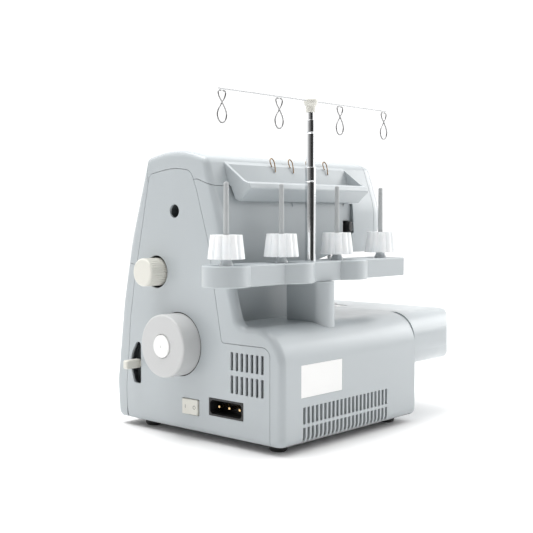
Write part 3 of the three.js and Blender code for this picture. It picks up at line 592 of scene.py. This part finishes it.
def housing(inset):
    """The whole outer form, or with an inset its hollow."""
    def shrink(corners):
        return offset(corners, -inset) if inset else corners

    tower = prism("X", shrink(TOWER_OUTLINE), TOWER_LEFT + inset, -inset, high_round=TOWER_EDGE_ROUND - inset)
    base = prism("X", shrink(BASE_OUTLINE), BASE_LEFT + inset, TOWER_LEFT + 6)
    head = domed_prism("X", HEAD_OUTLINE, HEAD_LEFT + inset, TOWER_LEFT + 6, HEAD_END_ROUND - inset, inset)
    head = cut(head, block((-300, TOWER_LEFT + 10), (-300, 0), (100, HEAD_BOTTOM + inset)))
    head = keep(head, prism("Z", shrink(HEAD_PLAN), 150, 320))
    head = keep(head, prism("Y", shrink(HEAD_FRONT), -240, -50))
    whole = join(tower, base, head)
    recess = block((RECESS["x0"] - inset, RECESS["x1"] + inset), (RECESS["y"] - inset, 2),
                   (BED_TOP - inset, RECESS["z1"] + inset))
    return cut(whole, recess)


def housing_shell():
    inner = housing(WALL)
    left = BASE_LEFT + WALL
    pit = prism("Z", [(left, -236), (-WALL, -236, 6), (-WALL, -WALL, 6), (left, -WALL)], 0, 20)
    return cut(housing(0), join(inner, pit))


REGIONS = {
    "side_cover": lambda grow: prism("X", offset(SIDE_OUTLINE, grow), -WALL - 0.2 - grow, 1),
    "face_cover": lambda grow: block((-300, FACE_SPLIT + grow), (-300, 10), (HEAD_BOTTOM - 5, 330)),
    "top_cover": lambda grow: prism("X", offset(TOP_OUTLINE, grow), -300, 10),
    "looper_cover": lambda grow: looper_cover_region(grow),
    "front_panel": lambda grow: prism("X", offset(FRONT_PANEL_OUTLINE, grow), -300, 10),
    "bed_cover": lambda grow: block((BASE_LEFT - 5, TOWER_LEFT - 0.5 + grow), (-222 - grow, -112 + grow),
                                    (112, 125)),
}


def looper_cover_region(grow):
    band = prism("X", offset(COVER_OUTLINE, grow), BASE_LEFT - 5, 10)
    hinge = (COVER_HINGE["y"], COVER_HINGE["z"])
    sector = rod(COVER_HINGE["reach"] + grow, "X", hinge, TOWER_LEFT + 4 - grow, 12, 180)
    low = block((BASE_LEFT - 5, TOWER_LEFT + 5), (-300, 0), (-5, 110 + grow))
    return keep(band, join(sector, low))


def split_housing():
    rest = housing_shell()
    pieces = {}
    for name, region in REGIONS.items():
        pieces[name] = keep(copy(rest), region(0))
        rest = cut(rest, region(SEAM))
    relief = rod(COVER_HINGE["relief"], "X", (COVER_HINGE["y"], COVER_HINGE["z"]), BASE_LEFT - 5, 5, 96)
    pieces["side_cover"] = cut(pieces["side_cover"], copy(relief))
    pieces["rear_casing"] = cut(rest, relief)
    return pieces


def slots(axis, vents, low, high):
    """Cutters for a grid of upright slots with rounded corners."""
    tools = []
    for column in range(vents["columns"]):
        middle = vents["first"] + column * vents["pitch"]
        for bottom, top in vents["rows"]:
            outline = rectangle(middle - vents["half"], middle + vents["half"], bottom, top, vents["round"])
            tools.append(prism(axis, outline, low, high, step=30))
    return tools


def side_openings():
    """Everything cut through the side cover: vents, and holes for the controls."""
    tools = slots("X", SIDE_VENTS, -30, 10)
    tools.append(rod(33, "X", (HANDWHEEL["y"], HANDWHEEL["z"]), -30, 10, 96))
    tools.append(rod(17, "X", (KNOB["y"], KNOB["z"]), -30, 10, 64))
    tools.append(rod(SCREW_HOLE["radius"], "X", (SCREW_HOLE["y"], SCREW_HOLE["z"]), -30, 10, 48))
    tools.append(block((-30, 10), (SWITCH["y"] - SWITCH["opening"], SWITCH["y"] + SWITCH["opening"]),
                       (SWITCH["z"] - 8.3, SWITCH["z"] + 8.3)))
    tools.append(block((-30, 10), (INLET["y0"], INLET["y1"]), (INLET["z0"], INLET["z1"])))
    tools.append(prism("X", LEVER_SLOT, -30, 10))
    return merge(tools)


def lever_sector(inner, outer, half_angle, x0, x1):
    """A ring sector about the feed lever's pivot, opening towards the front."""
    def ring(radius, sign):
        angles = [180 + sign * half_angle * (1 - k / 8) for k in range(17)]
        return circle_points((LEVER["y"], LEVER["z"]), radius, angles)
    return prism("X", ring(outer, 1) + ring(inner, -1), x0, x1)


def handle():
    """The carrying handle: a trough, open at the top, along the head's rear edge."""
    outside = [
        (-102, 282), (-73, 261.5, 1.5), (-65, 258.5, 3), (-63, 253.5, 2), (-78, 240.3, 2.5), (-84.5, 243.5),
        (-90.5, 255.8), (-93.6, 257), (-102.2, 281),
    ]
    pocket = [(-100.2, 290), (-91.5, 262), (-83, 250), (-78.5, 247.3), (-69.5, 259.5), (-60, 290)]
    body = prism("X", outside, HANDLE["x0"], HANDLE["x1"], 1.2, 1.2)
    hollow = prism("X", pocket, HANDLE["x0"] + HANDLE["wall"], HANDLE["x1"] - HANDLE["wall"])
    return cut(body, hollow)


def build_covers(pieces):
    """The thin shells that come off the rear casing."""
    body = MATERIALS["body"]

    side = cut(pieces["side_cover"], side_openings())
    settle(soften(side, 0.3), "side_cover_shell", "root", body, ["side_cover"])

    top = join(pieces["top_cover"], handle())
    settle(soften(top, 0.4), "top_cover_shell", "root", body, ["top_cover"])

    dial_slots = merge([block((x - 5.6, x + 5.6), (-230, -185), (219, 261)) for x in THREAD_X])
    front = cut(pieces["front_panel"], dial_slots)
    settle(soften(front, 0.4), "front_panel_shell", "root", body, ["front_panel"])

    settle(soften(pieces["face_cover"], 0.4), "face_cover_shell", "root", body, ["face_cover"])
    settle(soften(pieces["looper_cover"], 0.4), "looper_cover_shell", "looper_cover", body,
           ["looper_cover"])

    bed = cut(pieces["bed_cover"], plate_notch())
    settle(soften(bed, 0.4), "bed_cover_shell", "root", body, ["bed_cover"])


def plate_notch():
    """The cutter for the needle plate and for the looper's slot beside it."""
    left = BASE_LEFT - 5
    return join(block((left, PLATE["x1"] + 1), (PLATE["y0"] - 1, PLATE["y1"] + 1), (60, 130)),
                block((left, -212.4), (-162, -151), (60, 130)))


def build_rear_casing(rear):
    """The big moulding, with its openings, and with the small latch at its left end."""
    window = rectangle(LIFTER_WINDOW["x0"], LIFTER_WINDOW["x1"], LIFTER_WINDOW["z0"], LIFTER_WINDOW["z1"])
    pocket = offset(rectangle(LABEL["x0"], LABEL["x1"], LABEL["z0"], LABEL["z1"]), LABEL["gap"])
    low, high = HEAD_BOTTOM - 10, HEAD_BOTTOM + 10
    tools = [
        merge(slots("Y", BACK_VENTS, -9, 5)),
        plate_notch(),
        prism("Y", pocket, -LABEL["depth"], 2),
        rod(9, "Z", (NEEDLE["x"], NEEDLE["y"]), low, high),
        rod(7, "Z", (PRESSER["x"], PRESSER["y"]), low, high),
        prism("Y", window, -90, -84),
        block((BASE_LEFT - 5, BASE_LEFT + 5), (-208, -100), (62, 116.5)),
    ]
    rear = join(cut(rear, *tools), throat_web(), base_collar())
    settle(soften(rear, 0.3), "rear_casing_shell", "root", MATERIALS["body"], ["rear_casing"])
    latch = block((-225.0, -221.9), (-7, -2.5), (81, 91))
    settle(latch, "latch_notch", "root", MATERIALS["black"])


def throat_web():
    """The rear wall runs on below the head in a curve from the tower's side."""
    outline = [
        (-120, 140), (-120, 187), (-186, 187), (-186, 184.6), (-150, 176, 40), (-124.5, 150, 40), (-123, 140),
    ]
    return prism("Y", outline, -88.5, -86)


def base_collar():
    """A rim on the base's left wall that closes the gap to the free arm's cloth plate."""
    rim = prism("X", offset(NOSE_SECTION, -1.2), -225.2, -221)
    window = block((BASE_LEFT - 5, -215), (-212, -96), (59, 130))
    return cut(rim, window, prism("X", offset(NOSE_SECTION, -6), -230, -215))


# ------------------------------------------------------------------ free arm


def nose(inset):
    """The pillow-shaped free arm, or with an inset its hollow, which runs out through its right end."""
    def shrink(corners):
        return offset(corners, -inset) if inset else corners

    right = -225.5 if inset == 0 else -200
    plan = [(right, -3), (-313, -3, 34), (-330, -110, 90), (-327, -214, 30), (right, -214)]
    end = [(right, 58), (right, 119.2), (-330, 119.2, 28), (-330, 58, 28)]
    return keep(prism("X", shrink(NOSE_SECTION), -335, -225.5 + 2 * inset),
                prism("Z", shrink(plan), 50, 125),
                prism("Y", shrink(end), -220, 0))


def build_nose():
    notch = block((-253, -200), (PLATE["y0"] - 1.6, PLATE["y1"] + 1.6), (110, 130))
    shell = cut(nose(0), nose(WALL), notch)
    settle(soften(shell, 0.4), "cloth_plate_shell", "cloth_plate", MATERIALS["body"], ["cloth_plate"],
           sharp=25)


# ------------------------------------------------------------------ controls


def build_handwheel():
    """A plain wheel with a whiter cap in its middle, which has a small dimple."""
    y, z, radius, face = (HANDWHEEL[key] for key in ("y", "z", "radius", "face"))
    profile = [(5.4, -2), (24, -2), (24, -0.5), (radius, -0.5)]
    profile += arc((radius - 2.2, face - 2.2), 2.2, 0, 90, 6)
    profile += [(12.4, face), (12.2, face - 0.3), (12.2, face - 2.6), (5.4, face - 2.6)]
    wheel = turned(profile, "X", (y, z), 128)
    settle(wheel, "handwheel_rim", "handwheel", MATERIALS["pale"], ["handwheel"])
    profile = [(0, 20.8), (11.6, 20.8)] + arc((10.8, 23.6), 0.8, 0, 90, 4)
    profile += [(1.4, 24.4), (1.0, 23.8), (0, 23.8)]
    cap = turned(profile, "X", (y, z), 96)
    settle(cap, "handwheel_centre", "handwheel", MATERIALS["cap"], ["handwheel_cap"])


def build_knob():
    """The stitch length knob, with fine grooves round its side."""
    y, z, radius, face = (KNOB[key] for key in ("y", "z", "radius", "face"))
    profile = [(0, -18), (3.5, -18), (3.5, -7), (radius, -7)]
    profile += arc((radius - 2.5, face - 2.5), 2.5, 0, 90, 6) + [(0, face)]
    knob = turned(profile, "X", (y, z), 96)
    places = circle_points((y, z), radius + 0.25, [360 * k / KNOB["grooves"] for k in range(KNOB["grooves"])])
    knob = cut(knob, merge([rod(0.7, "X", place, -8, face - 2.6, 10) for place in places]))
    settle(knob, "stitch_knob", "stitch_length_knob", MATERIALS["cream"], ["stitch_length_knob"])


def build_lever():
    """The differential feed lever: an arm behind the cover and a tab that stands out of the slot."""
    y, z = LEVER["y"], LEVER["z"]
    arm = join(lever_sector(0.5, 23, 10, -9, -3.6), rod(6, "X", (y, z), -9, -3.6))
    tab = prism("X", rectangle(-212, -204.5, 63.5, 73, 2), -3.7, 15, 0, 2.2, 15)
    grip = merge([block((2 + 3 * k, 3 + 3 * k), (-220, -211.6), (60, 76)) for k in range(4)])
    lever = soften(join(arm, cut(tab, grip)), 0.35)
    settle(lever, "feed_lever", "differential_lever", MATERIALS["cream"], ["differential_lever"])
    # A dark plate behind the slot: painted shade of the machine's inside, seen through the slot.
    slot_shade = prism("X", offset(LEVER_SLOT, 3), -11, -10.4)
    settle(slot_shade, "lever_slot_painted_shade", "root", MATERIALS["shade"])


def build_switch():
    """The rocker, its line and circle, and a dark frame behind the cover that clears its swing."""
    x, y, z, height = (SWITCH[key] for key in ("x", "y", "z", "height"))
    low, high = z - height / 2, z + height / 2
    outline = [
        (x - 6, y - 6), (x + 1, y - 11.2), (x + 6.4, y - 10.8, 1), (x + 5.2, y, 40), (x + 5.6, y + 10.9, 1),
        (x + 1, y + 11.3), (x - 6, y + 6),
    ]
    rocker = prism("Z", outline, low, high, 0.7, 0.7)
    settle(rocker, "power_rocker", "power_switch", MATERIALS["cream"], ["power_switch"], sharp=40)
    bar = block((x + 4.5, x + 6.0), (y - 6.5, y - 6.1), (z - 1.8, z + 1.8))
    ring = cut(rod(1.9, "X", (y + 6.3, z), x + 2, x + 5.5, 32), rod(1.5, "X", (y + 6.3, z), x, x + 7, 32))
    marks = merge([bar, ring])
    settle(marks, "power_marks", "power_switch", MATERIALS["black"])
    half = SWITCH["opening"]
    bezel = cut(block((-14, -2.7), (y - half - 1, y + half + 1), (z - 9.2, z + 9.2)),
                block((-13, 1), (y - half - 0.1, y + half + 0.1), (z - 8.3, z + 8.3)))
    settle(soften(bezel, 0.15), "power_bezel", "root", MATERIALS["black"])


def build_inlet():
    """The three-pin mains inlet."""
    y0, y1, z0, z1, depth = (INLET[key] for key in ("y0", "y1", "z0", "z1", "depth"))
    gap = 0.3
    rim = 2.0
    outside = rectangle(y0 + gap, y1 - gap, z0 + gap, z1 - gap, 1)
    hollow = rectangle(y0 + rim, y1 - rim, z0 + rim, z1 - rim, 4)
    shell = cut(prism("X", outside, -depth, 0.3, 0, 0.3), prism("X", hollow, -depth + 3, 2))
    pins = [(y, (z0 + z1) / 2) for y in (-87, -73, -59)]
    shell = cut(shell, merge([rod(2.2, "X", pin, -depth - 2, -depth + 8, 24) for pin in pins]))
    settle(soften(shell, 0.25), "mains_inlet", "root", MATERIALS["black"], ["inlet_socket"])
    contacts = merge([rod(1.7, "X", pin, -depth - 1, -4.5, 32, edge=0.8) for pin in pins])
    settle(contacts, "mains_pins", "root", MATERIALS["brass"], ["inlet_contacts"])


def build_side_trim():
    """Dark parts that paint the shade seen in the openings round the handwheel and the knob, and in the
    screw's well.
    """
    place = (HANDWHEEL["y"], HANDWHEEL["z"])
    # A black ring behind the gap round the handwheel: painted shade of the machine's inside.
    ring = turned([(27, -5.2), (36, -5.2), (36, -4.4), (27, -4.4)], "X", place, 96)
    settle(ring, "handwheel_gap_painted_shade", "root", MATERIALS["black"])
    # A black cup behind the gap round the knob: painted shade of the machine's inside.
    profile = [(4.2, -12), (21, -12), (21, -3), (17.6, -3), (17.6, -11), (4.2, -11)]
    shade_cup = turned(profile, "X", (KNOB["y"], KNOB["z"]), 64)
    settle(shade_cup, "knob_gap_painted_shade", "root", MATERIALS["black"])
    radius = SCREW_HOLE["radius"]
    place = (SCREW_HOLE["y"], SCREW_HOLE["z"])
    # The screw's well is a real hollow; its dark grey is painted shade inside the hole.
    profile = [(0, -22), (radius + 0.9, -22), (radius + 0.9, -2.7), (radius + 0.1, -2.7), (radius + 0.1, -21),
               (0, -21)]
    settle(turned(profile, "X", place, 48), "screw_well_painted_shade", "root", MATERIALS["shade"])
    head = turned([(0, -20.9), (4, -20.9)] + arc((3.2, -19), 0.8, 0, 90, 4) + [(0, -18.2)], "X", place, 40)
    cross = [prism("X", rectangle(place[0] - u, place[0] + u, place[1] - v, place[1] + v), -19.2, -17)
             for u, v in ((2.6, 0.5), (0.5, 2.6))]
    settle(cut(head, *cross), "cover_screw", "root", MATERIALS["steel"])


def build_back_trim():
    """Dark plates behind the vents that paint the shade of the machine's inside, and the blank label in its
    pocket on the back.
    """
    # Black plates behind the side and back vents: painted shade seen through the slots.
    side = block((-4.2, -3.6), (-70, -18), (48, 98))
    settle(side, "side_vent_painted_shade", "root", MATERIALS["black"])
    back = block((-175, -28), (-4.2, -3.6), (11, 45))
    settle(back, "back_vent_painted_shade", "root", MATERIALS["black"])
    label = block((LABEL["x0"], LABEL["x1"]), (-0.35, -0.15), (LABEL["z0"], LABEL["z1"]))
    settle(label, "blank_label", "root", MATERIALS["cap"])


# ------------------------------------------------------------------ stitching parts


def ribbed_disc(radius, low, high, teeth, depth, axis, centre):
    """A wheel whose rim is a ring of soft teeth, with its two edges rounded."""
    count = teeth * 6
    edge = 1.2
    rings = []
    for away, w in ((edge, low), (0.35, low + 0.35), (0, low + edge), (0, high - edge), (0.35, high - 0.35),
                    (edge, high)):
        ring = []
        for i in range(count):
            angle = 2 * math.pi * i / count
            reach = radius - away - depth * (0.5 - 0.5 * math.cos(teeth * angle))
            ring.append((centre[0] + reach * math.cos(angle), centre[1] + reach * math.sin(angle)))
        rings.append((ring, w))
    return loft(axis, rings)


def build_dials():
    for index, x in enumerate(THREAD_X, start=1):
        wheel = ribbed_disc(20, x - 4.5, x + 4.5, 48, 0.5, "X", (-190, 240))
        settle(wheel, f"dial_wheel_{index}", f"tension_dial_{index}", MATERIALS["pale"],
               [f"tension_dial_{index}"], sharp=60)


def build_hooks():
    """Four bent wire hooks along the head's rear top edge."""
    for index, x in enumerate(THREAD_X, start=1):
        points = [(x, -93.8, 272), (x + 0.4, -94.4, 280), (x + 1.2, -96, 285.2), (x + 3, -97.2, 286.6),
                  (x + 4.8, -97, 284), (x + 4.6, -95.8, 280), (x + 4, -95, 277.5)]
        settle(wire(points, 0.6, 12), f"wire_hook_{index}", "root", MATERIALS["bronze"],
               ["thread_hooks"], sharp=60)


def build_lifter():
    """The black lever, and a body-coloured shield that fills the window behind it."""
    arm = prism("Y", [(-256, 209), (-256, 219, 4), (-232, 218, 3), (-208, 220), (-208, 209)], -97, -91)
    tip = prism("Y", [(-217, 208, 3), (-217, 220, 3), (-209.5, 220, 4), (-209.5, 208, 4)], -97, -82, 0, 1.5)
    pivot = rod(4, "Y", (LIFTER["x"], LIFTER["z"]), -100, -90)
    settle(join(arm, tip, pivot), "lifter_lever", "presser_lifter", MATERIALS["black"],
           ["presser_lifter"])
    pivot_point = (LIFTER["x"], LIFTER["z"])
    sector = circle_points(pivot_point, 48, range(-32, 43, 6))
    sector += circle_points(pivot_point, 28, range(40, -33, -6))
    shield = cut(prism("Y", sector, -90.4, -89.2), block((-218, -207), (-92, -88), (207, 221)))
    settle(shield, "lifter_shield", "presser_lifter", MATERIALS["body"])


def build_feet():
    for index, (x, y) in enumerate(((-22, -24), (-202, -24), (-22, -204), (-202, -204)), start=1):
        profile = [(0, 0), (7.2, 0), (8, 0.5), (9, 2), (9, 7.6), (0, 7.6)]
        foot = turned(profile, "Z", (x, y), 48)
        settle(foot, f"rubber_foot_{index}", "root", MATERIALS["rubber"], [f"foot_{index}"])


# ------------------------------------------------------------------ spool stand


def tray_form(inset, low, high, edge=0.0):
    y, half, left = TRAY["y"], TRAY["half"], TRAY["left"]
    back, front = y + 19 - inset, y - half + inset
    corners = [(left + inset, front, 3), (PIN_X[0], front), (PIN_X[0], back), (left + inset, back, 3)]
    strip = prism("Z", corners, low, high, edge, edge)
    discs = [(PIN_X[0], y, 23), (-53.5, y + 5, 26), (-141.5, y + 5, 26)]
    parts = []
    for x, cy, radius in discs:
        r = radius - inset
        profile = [(0, low), (r, low), (r, high), (0, high)]
        if edge:
            profile = [(0, low)] + arc((r - edge, low + edge), edge, -90, 0, 4)
            profile += arc((r - edge, high - edge), edge, 0, 90, 4) + [(0, high)]
        parts.append(turned(profile, "Z", (x, cy), 96))
    return keep(join(strip, *parts), block((-260, 60), (y - 22.5, 0), (low - 1, high + 1)))


def build_stand():
    low, high = TRAY["bottom"], TRAY["top"]
    tray = cut(tray_form(0, low, high, 1.2), tray_form(3, low - 1, high - 3))
    boss = block((-104, -82), (-62, -24), (low + 0.2, high - 2))
    settle(join(tray, boss), "spool_tray", "root", MATERIALS["body"], ["spool_stand"])
    outline = [(-105, -66, 3), (-105, -15.5, 10), (-81, -15.5, 12), (-81, -66, 3)]
    bed = prism("X", offset(BASE_OUTLINE, 0.05), -120, -60)
    column = cut(prism("Z", outline, 90, low - 0.1), bed)
    settle(column, "stand_pillar", "root", MATERIALS["body"], ["stand_column"])


def spool_pin(x, index):
    """A slightly tapered pin with a flared, milky foot round it."""
    foot = TRAY["top"] + 0.05
    profile = [(3.4, 0), (6.6, 0), (6.4, 1), (4.6, 5), (4.2, 5.4), (3.4, 5.6)]
    flare = turned([(radius, foot + rise) for radius, rise in profile], "Z", (x, TRAY["y"]), 48)
    settle(flare, f"spool_post_foot_{index}", "root", MATERIALS["cone"])
    profile = [(0, foot), (3, foot), (2.8, foot + 7), (2.3, PIN_TOP - 1.2)]
    profile += arc((1.2, PIN_TOP - 1.1), 1.1, 10, 90, 4) + [(0, PIN_TOP)]
    pin = turned(profile, "Z", (x, TRAY["y"]), 40)
    settle(pin, f"spool_post_{index}", "root", MATERIALS["pin"], [f"spool_pin_{index}"])


def spool_cone(x, index):
    """A tapered cone with soft flutes round it and a bore through it."""
    flutes = 12
    around = flutes * 10
    rows = 10
    verts = []
    for row in range(rows + 1):
        share = row / rows
        z = CONE["bottom"] + (CONE["top"] - CONE["bottom"]) * share
        radius = CONE["wide"] + (CONE["narrow"] - CONE["wide"]) * share
        for i in range(around):
            angle = 2 * math.pi * i / around
            wave = abs(math.sin(flutes * angle / 2)) ** 0.8
            reach = radius - CONE["flute"] * (1 - wave)
            verts.append((x + reach * math.cos(angle), TRAY["y"] + reach * math.sin(angle), z))
    faces = []
    for row in range(rows):
        for i in range(around):
            j = (i + 1) % around
            a, b = row * around, (row + 1) * around
            faces.append((a + i, a + j, b + j, b + i))
    faces.append(tuple(range(around)))
    faces.append(tuple(range(rows * around, (rows + 1) * around)))
    solid = mesh_object("cone", verts, faces)
    bore = rod(CONE["bore"], "Z", (x, TRAY["y"]), CONE["bottom"] - 2, CONE["top"] + 2, 32)
    settle(cut(solid, bore), f"cone_holder_{index}", f"spool_cone_{index}", MATERIALS["cone"],
           [f"spool_cone_{index}"], sharp=50)


def pole_tube(name, outer, inner, low, high, crimp, body, node):
    """A chrome tube with a rolled crimp near its top and a rounded mouth."""
    lip = 0.35
    profile = [(inner, low), (outer, low)]
    if crimp:
        profile += [(outer, crimp - 0.8), (outer - 0.35, crimp - 0.3), (outer - 0.35, crimp + 0.3),
                    (outer, crimp + 0.8)]
    profile += [(outer, high - lip)] + arc((outer - lip, high - lip), lip, 20, 90, 3) + [(inner, high)]
    tube = turned(profile, "Z", (POLE_X, TRAY["y"]), 64)
    settle(tube, name, body, MATERIALS["chrome"], [node])


def build_thread_guide():
    pole_tube("pole_outer_tube", 5.5, 4.8, 180.05, 275.6, 261.3, "root", "pole_lower")
    pole_tube("pole_mid_tube", 4.5, 3.8, 228.4, 323.4, 310.3, "pole_middle", "pole_middle")
    pole_tube("pole_inner_tube", 3.5, 2.8, 236, 331, None, "pole_upper", "pole_upper")
    low = 331.05
    profile = [(0, low), (4.6, low), (5, low + 0.5), (5, low + 5.5)] + [(5.4, low + 6.6), (6.9, low + 8.6)]
    profile += [(7.3, low + 9.4), (7.3, low + 12)] + arc((6.4, low + 12), 0.9, 0, 90, 4) + [(0, low + 12.9)]
    cap = turned(profile, "Z", (POLE_X, TRAY["y"]), 64)
    settle(cap, "guide_top", "thread_guide", MATERIALS["cream"], ["guide_cap"])
    bar = wire([(BAR["left"], TRAY["y"], BAR["z"]), (POLE_X, TRAY["y"], BAR["z"]),
                (BAR["right"], TRAY["y"], BAR["z"])], BAR["radius"], 16)
    settle(bar, "guide_rail", "thread_guide", MATERIALS["rail"], ["guide_bar"], sharp=60)
    for index, x in enumerate(EYE_X, start=1):
        thread_eye(x, index)


def thread_eye(x, index):
    """A wire bent into a figure eight that hangs from the bar."""
    y = TRAY["y"]
    top = BAR["z"] - BAR["radius"] - 1.1
    cross = BAR["z"] - 13.5
    bottom = BAR["z"] - 31
    points = [
        (x - 1.2, y, top), (x - 4.3, y - 0.1, top - 0.6), (x - 5, y - 0.3, top - 3), (x, y - 0.9, cross),
        (x + 4.6, y - 0.6, cross - 7), (x + 5.6, y - 0.3, bottom + 6.5), (x + 3.4, y, bottom + 1.4),
        (x, y, bottom), (x - 3.4, y, bottom + 1.4), (x - 5.6, y + 0.3, bottom + 6.5),
        (x - 4.6, y + 0.6, cross - 7), (x, y + 0.9, cross), (x + 5, y + 0.3, top - 3),
        (x + 4.3, y + 0.1, top - 0.6), (x + 1.2, y, top),
    ]
    eye = wire(points, BAR["radius"], 12)
    settle(eye, f"wire_eye_{index}", "thread_guide", MATERIALS["wire"], [f"thread_eye_{index}"],
           sharp=60)


# ------------------------------------------------------------------ stage


def build_stage():
    floor = mesh_object("floor", [(-14, -14, 0), (14, -14, 0), (14, 14, 0), (-14, 14, 0)], [(0, 1, 2, 3)])
    made = Material("floor_paper", (0.92, 0.92, 0.92), 0.7)
    made.vary_color(made.noise(2, 2), (0.91, 0.91, 0.91))
    floor.data.materials.append(made.material)
    build_tent()
    build_dark_card()
    add_area("top", (0.3, -0.4, 2.1), 1.3, 30)
    add_area("left", (-2.3, 0.8, 0.9), 1.2, 17)
    bpy.context.scene.view_settings.view_transform = "Standard"


def build_tent():
    """A light tent: white all round, brightest overhead, darker where the camera looks in."""
    world = bpy.data.worlds.new("light_tent")
    bpy.context.scene.world = world
    world.use_nodes = True
    nodes, links = world.node_tree.nodes, world.node_tree.links
    background = nodes["Background"]
    direction = nodes.new("ShaderNodeTexCoord").outputs["Generated"]
    dot = nodes.new("ShaderNodeVectorMath")
    dot.operation = "DOT_PRODUCT"
    dot.inputs[1].default_value = (0.743, 0.669, 0.0)
    links.new(direction, dot.inputs[0])
    ramp = nodes.new("ShaderNodeValToRGB")
    stops = ((0.0, 1.12), (0.45, 1.12), (0.72, 0.62), (0.9, 0.30), (1.0, 0.22))
    while len(ramp.color_ramp.elements) < len(stops):
        ramp.color_ramp.elements.new(0.5)
    for element, (place, level) in zip(ramp.color_ramp.elements, stops):
        element.position = place
        element.color = (level, level, level, 1)
    scaled = nodes.new("ShaderNodeMapRange")
    scaled.inputs["From Min"].default_value = -1
    scaled.inputs["From Max"].default_value = 1
    links.new(dot.outputs["Value"], scaled.inputs["Value"])
    links.new(scaled.outputs["Result"], ramp.inputs["Fac"])
    links.new(ramp.outputs["Color"], background.inputs["Color"])
    parts = nodes.new("ShaderNodeSeparateXYZ")
    links.new(direction, parts.inputs["Vector"])
    above = nodes.new("ShaderNodeMapRange")
    above.inputs["To Min"].default_value = 1.0
    above.inputs["To Max"].default_value = 1.55
    links.new(parts.outputs["Z"], above.inputs["Value"])
    links.new(above.outputs["Result"], background.inputs["Strength"])


def build_dark_card():
    """A low curved black wall on the camera's side gives the chrome tubes their dark stripe."""
    panels = 24
    start, sweep, distance, height = 38, 74, 2, 0.75
    angles = [start + sweep * k / panels for k in range(panels + 1)]
    verts = [(x, y, z) for z in (0.0, height) for x, y in circle_points((0, 0), distance, angles)]
    faces = [(k, k + 1, k + panels + 2, k + panels + 1) for k in range(panels)]
    card = mesh_object("dark_card", verts, faces)
    card.visible_camera = False
    paint = Material("card_paint", (0.01, 0.01, 0.01), 0.9)
    paint.vary_color(paint.noise(5, 2), (0.012, 0.012, 0.012))
    card.data.materials.append(paint.material)


def add_area(name, location, size, watts):
    light = bpy.data.lights.new(name, "AREA")
    light.energy = watts
    light.size = size
    lamp = bpy.data.objects.new(name, light)
    lamp.location = location
    aim = Vector((0, 0, 0.15)) - Vector(location)
    lamp.rotation_euler = aim.to_track_quat("-Z", "Y").to_euler()
    bpy.context.scene.collection.objects.link(lamp)


def build_camera():
    """The camera stands behind the machine on the handwheel side, a little above the spool stand."""
    camera = bpy.data.cameras.new("camera")
    camera.sensor_width = 36
    camera.lens = 64.9
    camera.clip_start = 0.05
    obj = bpy.data.objects.new("camera", camera)
    heading = math.radians(132)
    pitch = math.radians(-2.95)
    level = math.cos(pitch)
    look = Vector((-math.sin(heading) * level, math.cos(heading) * level, math.sin(pitch)))
    obj.location = CORNER + Vector((666.9, 581.0, 225.0)) * MM
    obj.rotation_euler = look.to_track_quat("-Z", "Y").to_euler()
    bpy.context.scene.collection.objects.link(obj)
    bpy.context.scene.camera = obj


def dress_cad_nodes():
    """CAD nodes that show as they are get the material of their slot."""
    for part in frame["record"]["subparts"]:
        node = frame["nodes"][part["node"]]
        if node.hide_render:
            continue
        node.data.materials.clear()
        node.data.materials.append(MATERIALS[part["material_slot"]])
        node.data.set_sharp_from_angle(angle=math.radians(35))


build_camera()
build_stage()
housing_pieces = split_housing()
build_covers(housing_pieces)
build_rear_casing(housing_pieces["rear_casing"])
build_nose()
build_handwheel()
build_knob()
build_lever()
build_switch()
build_inlet()
build_side_trim()
build_back_trim()
build_dials()
build_hooks()
build_lifter()
build_feet()
build_stand()
for number, pin_x in enumerate(PIN_X, start=1):
    spool_pin(pin_x, number)
    spool_cone(pin_x, number)
build_thread_guide()
dress_cad_nodes()
